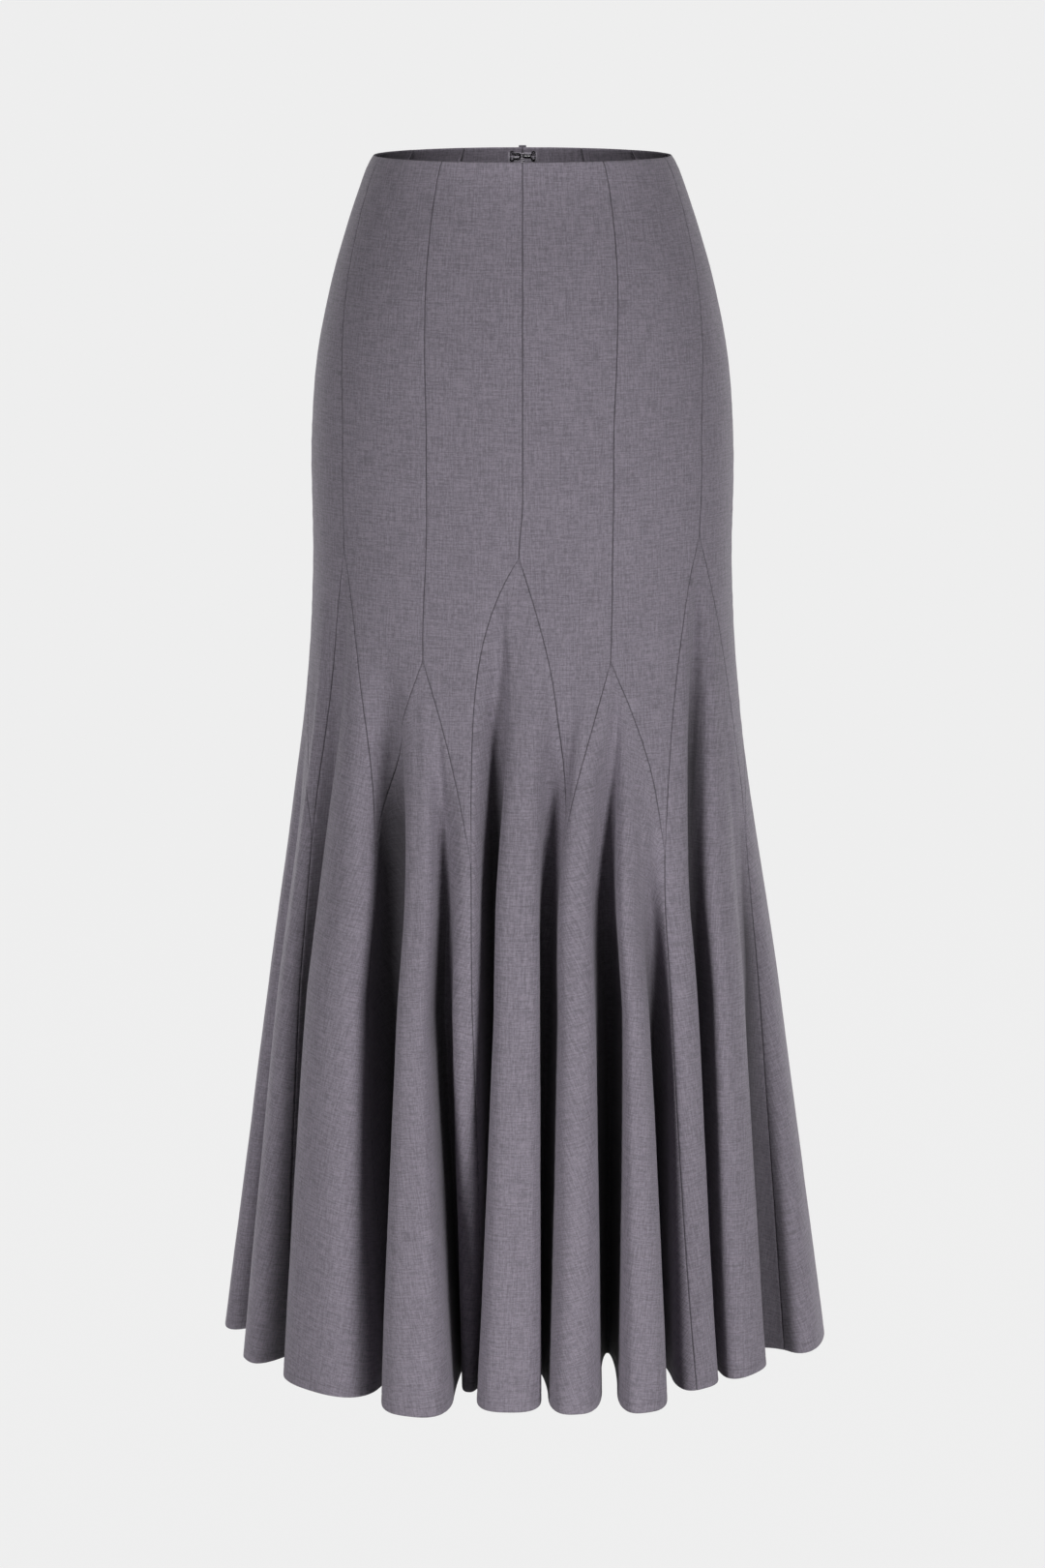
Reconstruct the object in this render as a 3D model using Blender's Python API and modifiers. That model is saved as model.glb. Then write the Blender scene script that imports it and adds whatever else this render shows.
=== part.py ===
"""Long trumpet skirt, worn and hollow, built from the pieces that its maker cuts and sews.

Twelve gores run from the waist over the hip and end in points. Twelve godets, kite shaped, are let into
the twelve gore seams; six start high and six start low. Below the points of the gores each godet is sewn
to the next one, down to the hem, and their fullness hangs in flutes. A concealed zip with a hook and an
eye closes the centre back seam.

The cloth is one surface, worked out by ring(): a level z gives the skirt's oval, and the fold coordinate
runs round it, with the crest of flute number j at j and the floor of the valley after it at j + 0.5.
Every piece is a stretch of that surface, so neighbours meet along one line with a small gap.

Metres, +Z up, the front faces -Y and +X is to the viewer's right. The origin is the centre of the waist.
"""

import math
from collections import namedtuple

import bmesh
import bpy
import numpy as np
from mathutils import Matrix, Vector

# ------------------------------------------------------------------ driving sizes
CLOTH = 0.0012            # thickness of every cloth wall
SEAM_GAP = 0.0003         # between two pieces that meet
HIP_LEVEL = -0.230
LOW_APEX = -0.387         # where the six low godets start
POINT_LEVEL = -0.543      # where all gores end in their points
HEM_LEVEL = -0.977
MID_LEVEL = -0.665        # level of the middle bearings in the flute table
FOLD_TOP = -0.330         # above this level the bearings follow the gore seams alone
FOLD_FULL = -0.600        # below this level they follow the flute table alone
FULL_CREST = 1.45         # 1 is a plain wave; more makes round crests and narrow valleys
FULL_DEPTH = 0.060        # in valleys at least this deep
TIP_DROP = 0.0016         # a godet's tip starts this far below the end of its seam
POINT_RISE = 0.0045       # and a gore's point stops this far above the level of the points
GORE_COLUMNS = 4
COLUMNS_PER_FLUTE = 9
EDGE_SHARE = 0.015        # width of the narrow column along each seam, as a part of the piece

# The skirt's oval at each level, without its folds.
Level = namedtuple("Level", "z half_width front_reach back_reach")
LEVELS = [
    Level(+0.000, 0.1175, 0.0865, 0.0875),
    Level(-0.008, 0.1222, 0.0890, 0.0905),
    Level(-0.022, 0.1276, 0.0925, 0.0955),
    Level(-0.052, 0.1378, 0.0985, 0.1060),
    Level(-0.098, 0.1513, 0.1060, 0.1210),
    Level(-0.160, 0.1638, 0.1115, 0.1350),
    Level(-0.230, 0.1691, 0.1130, 0.1390),
    Level(-0.330, 0.1689, 0.1150, 0.1320),
    Level(-0.430, 0.1755, 0.1270, 0.1345),
    Level(-0.543, 0.1905, 0.1455, 0.1470),
    Level(-0.665, 0.2085, 0.1650, 0.1630),
    Level(-0.820, 0.2300, 0.1890, 0.1850),
    Level(-0.977, 0.2520, 0.2130, 0.2080),
]

# A godet, with the gore seam that it is let into. fold is where that seam runs, in the fold coordinate,
# and the three bearings (degrees from the front, to the right) are the seam's at the waist, the hip and
# the apex. bow_left and bow_right say how quickly the godet's edges spread: 1 is straight. The last two
# columns are where it meets the next godet, at the gores' points and at the hem.
Godet = namedtuple("Godet", "name fold waist hip apex apex_z bow_left bow_right join_top join_hem")
GODETS = [
    Godet("godet_front", -0.15, 0, 0.0, -1.0, -0.304, 4.4, 1.8, 0.78, 0.74),
    Godet("godet_front_right", 1.40, 32, 24.8, 24.5, LOW_APEX, 1.4, 1.4, 2.78, 2.95),
    Godet("godet_right_front", 3.50, 71, 56.5, 56.0, -0.295, 3.6, 2.2, 4.72, 4.72),
    Godet("godet_right_side", 5.60, 104, 90.0, 90.0, LOW_APEX, 1.4, 1.5, 6.60, 6.55),
    Godet("godet_right_back", 7.45, 131, 121.0, 121.0, -0.300, 2.4, 2.4, 8.35, 8.30),
    Godet("godet_back_right", 9.30, 156, 151.0, 151.0, LOW_APEX, 1.4, 1.4, 10.25, 10.25),
    Godet("godet_back", 11.10, 180, 180.0, 180.0, -0.306, 2.4, 2.4, 12.20, 12.22),
    Godet("godet_back_left", 12.90, 204, 209.0, 209.0, LOW_APEX, 1.4, 1.4, 13.80, 13.75),
    Godet("godet_left_back", 14.75, 229, 239.0, 239.0, -0.298, 2.4, 2.4, 15.80, 15.80),
    Godet("godet_left_side", 16.90, 256, 270.0, 270.0, LOW_APEX, 1.4, 1.5, 18.20, 18.28),
    Godet("godet_left_front", 18.70, 289, 303.0, 303.0, -0.306, 2.2, 2.3, 19.26, 19.30),
    Godet("godet_front_left", 20.15, 328, 333.7, 332.3, LOW_APEX, 1.4, 1.2, 21.06, 21.22),
]
GORE_NAMES = [
    "gore_front_right", "gore_front_right_outer", "gore_right_front",
    "gore_right_back", "gore_back_right_outer", "gore_back_right",
    "gore_back_left", "gore_back_left_outer", "gore_left_back",
    "gore_left_front", "gore_front_left_outer", "gore_front_left",
]
BACK_SEAM = 6             # the godet and seam at the centre back, which the zip closes

# A flute hangs between its two flanks, given by their bearings in degrees at the middle level and at the
# hem. Lengths are in metres, at the hem: recess is how far its crest lies inside the oval, and valley the
# depth of the valley that follows it, which starts at the level starts and opens towards the bearing
# opens. tuck says how far the lips of that valley close over it: 0 leaves its walls upright.
Flute = namedtuple("Flute", "mid_from mid_to hem_from hem_to recess valley starts opens tuck")
FLUTES = [
    Flute(-7.2, 4.0, -10.1, 3.9, 0.012, 0.100, -0.360, 4, 0.5),
    Flute(8.2, 16.0, 5.4, 14.6, 0.005, 0.135, -0.400, 0, 0.3),
    Flute(22.6, 29.4, 17.7, 28.4, -0.005, 0.115, -0.480, 10, 0.4),
    Flute(35.0, 44.6, 31.4, 43.0, 0.021, 0.075, -0.300, 25, 0.7),
    Flute(49.7, 66.0, 45.0, 61.0, 0.017, 0.050, -0.480, 60, 0.5),
    Flute(74.0, 93.0, 69.5, 91.0, -0.003, 0.080, -0.420, 98, 0.4),
    Flute(100.0, 111.0, 98.0, 110.0, 0.006, 0.085, -0.330, 114, 0.5),
    Flute(118.0, 127.0, 117.0, 127.0, 0.010, 0.075, -0.400, 131, 0.4),
    Flute(134.0, 145.0, 134.0, 146.0, 0.000, 0.095, -0.330, 150, 0.5),
    Flute(152.0, 160.5, 152.0, 161.0, 0.010, 0.085, -0.420, 164, 0.4),
    Flute(167.0, 176.0, 167.0, 177.0, 0.000, 0.100, -0.330, 179, 0.5),
    Flute(183.0, 190.5, 183.0, 191.0, 0.008, 0.080, -0.420, 194, 0.3),
    Flute(197.0, 206.0, 197.0, 207.0, 0.000, 0.095, -0.330, 208, 0.5),
    Flute(213.0, 221.0, 213.0, 221.5, 0.010, 0.085, -0.430, 220, 0.4),
    Flute(227.0, 235.5, 227.0, 236.0, 0.002, 0.090, -0.330, 235, 0.5),
    Flute(241.0, 247.5, 241.5, 248.0, 0.010, 0.075, -0.430, 246, 0.4),
    Flute(252.0, 257.5, 253.0, 259.0, 0.006, 0.065, -0.420, 257, 0.3),
    Flute(262.0, 276.0, 264.0, 275.0, 0.001, 0.045, -0.430, 288, 0.3),
    Flute(281.5, 294.0, 289.5, 298.5, 0.003, 0.080, -0.320, 312, 0.5),
    Flute(299.5, 321.0, 305.0, 330.0, 0.002, 0.130, -0.358, 344, 0.4),
    Flute(330.6, 338.8, 332.0, 346.5, -0.010, 0.110, -0.430, 354, 0.4),
    Flute(343.8, 349.2, 347.2, 349.3, 0.052, 0.125, -0.340, 349, 0.4),
]
TURN = len(FLUTES)        # the fold coordinate of one whole turn

# Levels of the rows of every piece; apexes are added to them piece by piece.
GORE_ROWS = [0.0, -0.010, -0.026, -0.055, -0.095, -0.145, -0.200, -0.255]
SHARED_ROWS = [-0.325, -0.355, LOW_APEX, -0.430, -0.475, -0.512, POINT_LEVEL]
GODET_ROWS = [-0.605, -0.680, -0.770, -0.870, HEM_LEVEL]

# The zip: two tapes inside the centre back seam, a slider at its top and a pull that hangs on it.
TAPE_WIDTH = 0.012
TAPE_EDGE = 0.0005        # from the seam to the tape
TAPE_INSET = CLOTH + 0.0005   # from the middle of the cloth to the middle of the tape
TAPE_ROWS = GORE_ROWS[1:7]
SLIDER_LEVEL = -0.003
SLIDER_SIZE = (0.0062, 0.0022, 0.0080)   # across, outwards, along the seam
BAIL_WIRE = 0.0005        # radius
BAIL_RADIUS = 0.00155
HINGE_DROP = 0.0018       # the pull's axis, below the middle of the slider
HINGE_RISE = 0.0010       # and above its face
PULL_LENGTH = 0.0200
PULL_WIDTH = 0.0058
PULL_THICKNESS = 0.0010
EYELET = (0.0032, 0.0032) # the hole at the pull's top, across and along
EYELET_BAR = 0.0010       # width of the bar above it, which turns in the bail
HOOK_WIRE = 0.0004        # radius
HOOK_LEVEL = -0.0065


# ------------------------------------------------------------------ small helpers
def ramp(value, start, end):
    """0 at start, 1 at end, straight between them."""
    return min(1.0, max(0.0, (value - start) / (end - start)))


def soft_ramp(value, start, end):
    t = ramp(value, start, end)
    return t * t * (3.0 - 2.0 * t)


def hermite(p0, p1, m0, m1, t):
    """Cubic from p0 to p1 with end slopes m0 and m1."""
    return ((2 * t**3 - 3 * t**2 + 1) * p0 + (t**3 - 2 * t**2 + t) * m0
            + (3 * t**2 - 2 * t**3) * p1 + (t**3 - t**2) * m1)


def smooth_column(column, z):
    """A column of LEVELS at level z, on a smooth curve through its rows."""
    heights = [row.z for row in LEVELS]
    values = [getattr(row, column) for row in LEVELS]
    i = 0
    while i < len(LEVELS) - 2 and z < heights[i + 1]:
        i += 1

    def slope(k):
        low, high = max(0, k - 1), min(len(LEVELS) - 1, k + 1)
        return (values[high] - values[low]) / (heights[high] - heights[low])

    span = heights[i + 1] - heights[i]
    t = (z - heights[i]) / span
    return hermite(values[i], values[i + 1], slope(i) * span, slope(i + 1) * span, t)


# ------------------------------------------------------------------ the surface of the cloth
def seam_bearing(godet, z):
    """Bearing of a gore seam at level z."""
    if z > HIP_LEVEL:
        return godet.waist + (godet.hip - godet.waist) * soft_ramp(z, 0.0, HIP_LEVEL)
    return godet.hip + (godet.apex - godet.hip) * soft_ramp(z, HIP_LEVEL - 0.03, godet.apex_z)


def seam_bearings(folds, z):
    """Bearings that follow the gore seams, in even steps between them."""
    knots = [g.fold for g in GODETS]
    bearings = [seam_bearing(g, z) for g in GODETS]
    knots = [k - TURN for k in knots] + knots + [k + TURN for k in knots]
    bearings = [b - 360.0 for b in bearings] + bearings + [b + 360.0 for b in bearings]
    return np.interp(folds, knots, bearings)


def flank_bearings(z):
    """Bearing of each flank at level z; flank 2j is at fold j - 0.25 and flank 2j + 1 at j + 0.25."""
    down = max(0.0, (MID_LEVEL - z) / (MID_LEVEL - HEM_LEVEL))
    flanks = []
    for flute in FLUTES:
        flanks.append(flute.mid_from + (flute.hem_from - flute.mid_from) * down)
        flanks.append(flute.mid_to + (flute.hem_to - flute.mid_to) * down)
    return np.array(flanks)


def valley_depth(flute, z):
    """Depth of the valley that follows a flute: none above its start, all of it at the hem."""
    s = ramp(z, flute.starts, HEM_LEVEL)
    return flute.valley * s * s / (s + 0.12) * 1.12


def crest_recess(flute, z):
    return flute.recess * soft_ramp(z, POINT_LEVEL + 0.05, HEM_LEVEL)


def fold_bearings(folds, z):
    """Bearings that follow the flute table: a smooth curve through the flanks, steep at each flank."""
    flanks = flank_bearings(z)
    count = len(flanks)
    previous = np.roll(flanks, 1)
    previous[0] -= 360.0
    following = np.roll(flanks, -1)
    following[-1] += 360.0
    even = (following - previous) / 2.0
    slopes = np.empty(count)
    for j, flute in enumerate(FLUTES):
        for flank, valley in ((2 * j, FLUTES[j - 1]), (2 * j + 1, flute)):
            steep = soft_ramp(valley_depth(valley, z), 0.004, 0.040)
            curl = -0.9 * valley.tuck * ramp(z, FOLD_FULL, HEM_LEVEL) ** 0.5
            slopes[flank] = even[flank] * (1.0 - steep + curl * steep)
    position = (folds + 0.25) * 2.0
    whole = np.floor(position).astype(int)
    start = flanks[whole % count] + 360.0 * (whole // count)
    end = flanks[(whole + 1) % count] + 360.0 * ((whole + 1) // count)
    return hermite(start, end, slopes[whole % count], slopes[(whole + 1) % count], position - whole)


def opening_bearing(j):
    """Bearing that valley j opens towards, counted on through whole turns."""
    return FLUTES[j % TURN].opens + 360.0 * (j // TURN)


def inset_and_opening(folds, z):
    """How far the cloth lies inside the oval, and the bearing that it is moved in from."""
    crests = np.rint(folds).astype(int)
    valleys = np.floor(folds).astype(int)
    recess = np.array([crest_recess(FLUTES[j % TURN], z) for j in crests])
    depth = np.array([valley_depth(FLUTES[j % TURN], z) for j in valleys])
    fullness = 1.0 + (FULL_CREST - 1.0) * np.clip((depth - recess) / FULL_DEPTH, 0.0, 1.0)
    wave = (0.5 - 0.5 * np.cos(2.0 * math.pi * (folds - crests))) ** fullness
    inset = recess + (depth - recess) * wave
    over = np.clip((folds - crests) * 2.0 + 0.5, 0.0, 1.0)
    before = np.array([opening_bearing(j - 1) for j in crests])
    after = np.array([opening_bearing(j) for j in crests])
    return inset, before + (after - before) * over * over * (3.0 - 2.0 * over)


def ring(z, folds):
    """Points of the cloth's middle surface at level z, one for each fold coordinate."""
    folds = np.asarray(folds, float)
    blend = soft_ramp(z, FOLD_TOP, FOLD_FULL)
    bearings = seam_bearings(folds, z) * (1.0 - blend)
    if blend > 0.0:
        bearings = bearings + fold_bearings(folds, z) * blend
    angle = np.radians(bearings)
    half_width = smooth_column("half_width", z)
    front = smooth_column("front_reach", z)
    back = smooth_column("back_reach", z)
    reach = np.where(np.cos(angle) > 0.0, front, back)
    inset, opening = inset_and_opening(folds, z)
    inward = np.radians(opening)
    x = half_width * np.sin(angle) - inset * np.sin(inward)
    y = -reach * np.cos(angle) + inset * np.cos(inward)
    return np.stack([x, y, np.full_like(x, z)], axis=1)


def shifted(z, fold, distance):
    """The fold coordinate that lies a distance along the cloth from fold, at level z."""
    step = 0.01
    a, b = ring(z, [fold - step, fold + step])
    return fold + distance * 2.0 * step / np.linalg.norm(b - a)


# ------------------------------------------------------------------ where the pieces end
def join_fold(k, z):
    """Fold coordinate of the seam between godet k and the next, below the gores' points."""
    godet = GODETS[k % 12]
    down = ramp(z, POINT_LEVEL, HEM_LEVEL)
    return godet.join_top + (godet.join_hem - godet.join_top) * down + TURN * (k // 12)


def godet_edge(k, z, side):
    """Fold coordinate of a godet's left (-1) or right (+1) edge at level z."""
    godet = GODETS[k % 12]
    apex = godet.fold + TURN * (k // 12)
    if z >= godet.apex_z:
        return apex
    joined = join_fold(k - 1 if side < 0 else k, z)
    if z <= POINT_LEVEL:
        return joined
    bow = godet.bow_left if side < 0 else godet.bow_right
    down = ramp(z, godet.apex_z, POINT_LEVEL)
    return apex + (joined - apex) * (1.0 - (1.0 - down) ** bow)


# ------------------------------------------------------------------ making the cloth pieces
def make_material(name, colour, roughness, metallic=0.0):
    material = bpy.data.materials.new(name)
    material.use_nodes = True
    shader = material.node_tree.nodes["Principled BSDF"]
    shader.inputs["Base Color"].default_value = (*colour, 1.0)
    shader.inputs["Roughness"].default_value = roughness
    shader.inputs["Metallic"].default_value = metallic
    return material


def take_in(obj, name, material, collection):
    """Name a new object, give it its material and move it into the skirt's collection."""
    obj.name = obj.data.name = name
    obj.data.materials.append(material)
    for old in list(obj.users_collection):
        old.objects.unlink(obj)
    collection.objects.link(obj)
    return obj


def across(columns):
    """Where the columns of a piece lie between its edges, with a narrow one along each seam."""
    inner = np.linspace(0.0, 1.0, columns + 1)[1:-1]
    return np.concatenate([[0.0, EDGE_SHARE], inner, [1.0 - EDGE_SHARE, 1.0]])


def cloth_piece(name, rows, material, collection):
    """A cloth wall: a grid laid over rows of points, given its thickness."""
    columns = len(rows[0]) - 1
    bpy.ops.mesh.primitive_grid_add(x_subdivisions=columns, y_subdivisions=len(rows) - 1, size=1.0)
    obj = bpy.context.object
    for vertex in obj.data.vertices:
        i = round((vertex.co.x + 0.5) * columns)
        j = round((0.5 - vertex.co.y) * (len(rows) - 1))
        vertex.co = rows[j][i]
    mesh = bmesh.new()
    mesh.from_mesh(obj.data)
    bmesh.ops.remove_doubles(mesh, verts=mesh.verts, dist=0.00001)
    mesh.to_mesh(obj.data)
    mesh.free()
    obj.data.shade_smooth()
    wall = obj.modifiers.new("cloth thickness", "SOLIDIFY")
    wall.thickness = CLOTH
    wall.offset = 0.0
    return take_in(obj, name, material, collection)


def row_between(z, left, right, columns):
    """A row of a piece at level z, between two seams and clear of both by half the gap."""
    left = shifted(z, left, SEAM_GAP / 2.0)
    right = shifted(z, right, -SEAM_GAP / 2.0)
    return ring(z, left + (right - left) * across(columns))


def tip_row(z, fold, columns):
    """A row whose points all fall on one, as at the tip of a godet or the point of a gore."""
    return ring(z, np.full(columns + 3, fold))


def gore_row(k, z):
    return row_between(z, godet_edge(k, z, +1), godet_edge(k + 1, z, -1), GORE_COLUMNS)


def make_gore(k, material, collection):
    """The gore between the seams of godets k and k + 1."""
    apexes = {GODETS[k].apex_z, GODETS[(k + 1) % 12].apex_z}
    levels = sorted(set(GORE_ROWS) | apexes | set(SHARED_ROWS[:-1]), reverse=True)
    rows = [gore_row(k, z) for z in levels]
    end = POINT_LEVEL + POINT_RISE
    middle = (godet_edge(k, end, +1) + godet_edge(k + 1, end, -1)) / 2.0
    rows.append(tip_row(end, middle, GORE_COLUMNS))
    return cloth_piece(GORE_NAMES[k], rows, material, collection)


def make_godet(k, material, collection):
    """The godet let into seam k."""
    godet = GODETS[k]
    span = join_fold(k, HEM_LEVEL) - join_fold(k - 1, HEM_LEVEL)
    columns = max(12, round(COLUMNS_PER_FLUTE * span))
    rows = [tip_row(godet.apex_z - TIP_DROP, godet.fold, columns)]
    inner = [z for z in SHARED_ROWS if z < godet.apex_z - 2.0 * TIP_DROP]
    for z in inner + GODET_ROWS:
        rows.append(row_between(z, godet_edge(k, z, -1), godet_edge(k, z, +1), columns))
    return cloth_piece(godet.name, rows, material, collection)


# ------------------------------------------------------------------ the zip, the hook and the eye
def make_tape(name, k, side, material, collection):
    """A zip tape: gore k's points beside the centre back seam, moved in from the cloth."""
    rows = []
    for z in TAPE_ROWS:
        panel = gore_row(k, z)
        if side < 0:
            panel = panel[::-1]
        along = panel[2] - panel[0]
        along /= np.linalg.norm(along)
        inward = np.array([0.0, -1.0, 0.0])
        inward -= along * along.dot(inward)
        inward /= np.linalg.norm(inward)
        start = panel[0] + inward * TAPE_INSET
        rows.append(np.array([start + along * d for d in np.linspace(TAPE_EDGE, TAPE_WIDTH, 4)]))
    return cloth_piece(name, rows, material, collection)


def back_slope():
    """Angle of the cloth from upright at the top of the centre back seam."""
    high, low = smooth_column("back_reach", 0.0), smooth_column("back_reach", -0.022)
    return math.atan2(low - high, 0.022)


def back_frame():
    """A frame on the cloth's outside at the slider: local Y points outwards and Z up the seam."""
    slope = back_slope()
    face = Vector((0.0, smooth_column("back_reach", SLIDER_LEVEL), SLIDER_LEVEL))
    turn = Matrix.Rotation(slope, 4, "X")
    return Matrix.Translation(face) @ turn @ Matrix.Translation((0.0, CLOTH / 2.0 + SEAM_GAP, 0.0))


def wire(name, points, radius, material, collection):
    """A closed wire piece: a curve through the points, made a mesh with its ends welded."""
    curve = bpy.data.curves.new(name, "CURVE")
    curve.dimensions = "3D"
    curve.bevel_depth = radius
    curve.bevel_resolution = 2
    curve.use_fill_caps = True
    spline = curve.splines.new("POLY")
    spline.points.add(len(points) - 1)
    for target, point in zip(spline.points, points):
        target.co = (*point, 1.0)
    source = bpy.data.objects.new(name, curve)
    collection.objects.link(source)
    evaluated = source.evaluated_get(bpy.context.evaluated_depsgraph_get())
    obj = bpy.data.objects.new(name, bpy.data.meshes.new_from_object(evaluated))
    collection.objects.link(obj)
    bpy.data.objects.remove(source, do_unlink=True)
    mesh = bmesh.new()
    mesh.from_mesh(obj.data)
    bmesh.ops.remove_doubles(mesh, verts=mesh.verts, dist=0.00001)
    bmesh.ops.recalc_face_normals(mesh, faces=mesh.faces)
    mesh.to_mesh(obj.data)
    mesh.free()
    return take_in(obj, name, material, collection)


def arc(centre, radius, start, end, steps):
    """Points (across, up) on an arc, angles in degrees from the first axis."""
    angles = np.radians(np.linspace(start, end, steps + 1))
    return [(centre[0] + radius * math.cos(a), centre[1] + radius * math.sin(a)) for a in angles]


def make_slider(material, collection):
    """The slider's body, with the bail that the pull hangs on."""
    width, depth, length = SLIDER_SIZE
    bpy.ops.mesh.primitive_cube_add(size=1.0)
    body = bpy.context.object
    for vertex in body.data.vertices:
        vertex.co = Vector((vertex.co.x * width, (vertex.co.y + 0.5) * depth, vertex.co.z * length))
    bevel = body.modifiers.new("rounded edges", "BEVEL")
    bevel.width = 0.0006
    bevel.segments = 2
    foot = depth - 0.0004
    top = depth + HINGE_RISE
    arch = [(foot, -HINGE_DROP - BAIL_RADIUS)]
    arch += arc((top, -HINGE_DROP), BAIL_RADIUS, -90, 90, 8)
    arch.append((foot, -HINGE_DROP + BAIL_RADIUS))
    bail = wire("bail", [(0.0, y, z) for y, z in arch], BAIL_WIRE, material, collection)
    bail.hide_render = True
    bail.display_type = "WIRE"
    join = body.modifiers.new("bail joined", "BOOLEAN")
    join.operation = "UNION"
    join.object = bail
    body.matrix_world = back_frame()
    bail.matrix_world = back_frame()
    return take_in(body, "zip_slider", material, collection)


def pull_tilt():
    """Angle at which the pull leans from the slider's face until its end lies on the cloth."""
    rise = SLIDER_SIZE[1] + HINGE_RISE - PULL_THICKNESS / 2.0
    return math.asin(rise / PULL_LENGTH)


def make_pull(material, collection):
    """The drop-shaped pull: a flat outline with an eyelet, its origin on the axis it turns about."""
    curve = bpy.data.curves.new("zip_pull", "CURVE")
    curve.dimensions = "2D"
    curve.fill_mode = "BOTH"
    curve.extrude = PULL_THICKNESS / 2.0
    top = EYELET_BAR / 2.0
    shoulder = EYELET[0] / 2.0 + EYELET_BAR * 0.8
    round_end = PULL_WIDTH / 2.0
    outline = [(-shoulder, -top), (-shoulder + top, top), (shoulder - top, top), (shoulder, -top)]
    outline += arc((0.0, -PULL_LENGTH + round_end), round_end, 20, -200, 14)
    half = EYELET[0] / 2.0
    hole = [(-half, -top), (half, -top), (half * 0.6, -top - EYELET[1]), (-half * 0.6, -top - EYELET[1])]
    for points in (outline, hole):
        spline = curve.splines.new("POLY")
        spline.points.add(len(points) - 1)
        spline.use_cyclic_u = True
        for target, point in zip(spline.points, points):
            target.co = (*point, 0.0, 1.0)
    obj = bpy.data.objects.new("zip_pull", curve)
    hinge = Matrix.Translation((0.0, SLIDER_SIZE[1] + HINGE_RISE, -HINGE_DROP))
    lean = Matrix.Rotation(math.radians(90.0) - pull_tilt(), 4, "X")
    obj.matrix_world = back_frame() @ hinge @ lean
    collection.objects.link(obj)
    return take_in(obj, "zip_pull", material, collection)


def inside_point(side, up):
    """A point inside the top of the centre back seam, on the tapes: side along X, up along the seam."""
    slope = back_slope()
    level = HOOK_LEVEL
    panel = gore_row(BACK_SEAM, level)
    fall = panel[2] - panel[0]
    inset = TAPE_INSET + CLOTH / 2.0 + SEAM_GAP + HOOK_WIRE
    y = panel[0][1] - abs(side * fall[1] / fall[0]) - inset / math.cos(slope) - up * math.sin(slope)
    return (side, y, level + up * math.cos(slope))


def make_hook_and_eye(material, collection):
    """The hook on the left gore's edge and the eye on the right one, in bent wire."""
    bill = [(0.0100, 0.0012)] + arc((0.0085, 0.0022), 0.0014, -30, 200, 8)
    bill += [(0.0060, 0.0006), (0.0006, 0.0006)] + arc((0.0006, 0.0), 0.0006, 90, 270, 6)
    bill += [(0.0060, -0.0006)] + arc((0.0085, -0.0022), 0.0014, 160, 390, 8) + [(0.0100, -0.0012)]
    hook = [inside_point(x + 0.0004, y) for x, y in bill]
    wire("hook", hook, HOOK_WIRE, material, collection)
    loop = [(-0.0100, 0.0014)] + arc((-0.0085, 0.0024), 0.0014, 210, -20, 8)
    loop += [(-0.0060, 0.0019)] + arc((-0.0034, 0.0), 0.0019, 90, -90, 8)
    loop += [(-0.0060, -0.0019)] + arc((-0.0085, -0.0024), 0.0014, 20, -210, 8) + [(-0.0100, -0.0014)]
    eye = [inside_point(x, y) for x, y in loop]
    wire("eye", eye, HOOK_WIRE, material, collection)


def main():
    for old in list(bpy.data.objects):
        bpy.data.objects.remove(old, do_unlink=True)
    collection = bpy.data.collections.new("trumpet_skirt")
    bpy.context.scene.collection.children.link(collection)
    cloth = make_material("suiting cloth", (0.20, 0.18, 0.21), 0.85)
    tape = make_material("zip tape", (0.22, 0.20, 0.23), 0.80)
    painted = make_material("painted zip metal", (0.24, 0.22, 0.25), 0.40, 0.60)
    black = make_material("black wire", (0.02, 0.02, 0.02), 0.35, 0.80)
    for k in range(len(GODETS)):
        make_gore(k, cloth, collection)
        make_godet(k, cloth, collection)
    make_tape("zip_tape_right", BACK_SEAM - 1, -1, tape, collection)
    make_tape("zip_tape_left", BACK_SEAM, +1, tape, collection)
    make_slider(painted, collection)
    make_pull(painted, collection)
    make_hook_and_eye(black, collection)


main()
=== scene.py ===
# %% [markdown]
# # A trumpet skirt with godets
# The skirt is worn and hollow. Twelve gores run from the waist over the hip, and twelve kite-shaped
# godets are let into their seams and fall in flutes to the hem. A concealed zip closes the back.
#
# The imported model comes in first. It is the frame: every piece of cloth made here takes the place of
# one of its solids, and rides on the same body.

# %% Load the frame
import math
from collections import namedtuple

import bpy
import numpy as np
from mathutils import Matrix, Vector, noise


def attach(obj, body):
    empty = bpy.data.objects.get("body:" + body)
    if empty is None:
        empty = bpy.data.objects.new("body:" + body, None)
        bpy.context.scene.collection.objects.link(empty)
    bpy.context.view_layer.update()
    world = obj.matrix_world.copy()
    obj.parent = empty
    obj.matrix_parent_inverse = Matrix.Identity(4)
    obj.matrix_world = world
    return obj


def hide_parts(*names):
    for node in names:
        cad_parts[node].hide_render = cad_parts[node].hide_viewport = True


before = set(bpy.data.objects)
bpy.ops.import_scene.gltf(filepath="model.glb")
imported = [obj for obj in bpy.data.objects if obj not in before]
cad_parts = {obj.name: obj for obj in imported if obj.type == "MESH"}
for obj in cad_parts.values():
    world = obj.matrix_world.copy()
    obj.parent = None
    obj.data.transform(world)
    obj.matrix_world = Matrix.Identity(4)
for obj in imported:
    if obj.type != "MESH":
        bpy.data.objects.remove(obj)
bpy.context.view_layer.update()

# %% [markdown]
# ## The camera
# The photo looks slightly down at the skirt from the front, from a long way off. The camera stands at
# that place before anything is made, so that each step can be looked at from where it will be judged.

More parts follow.
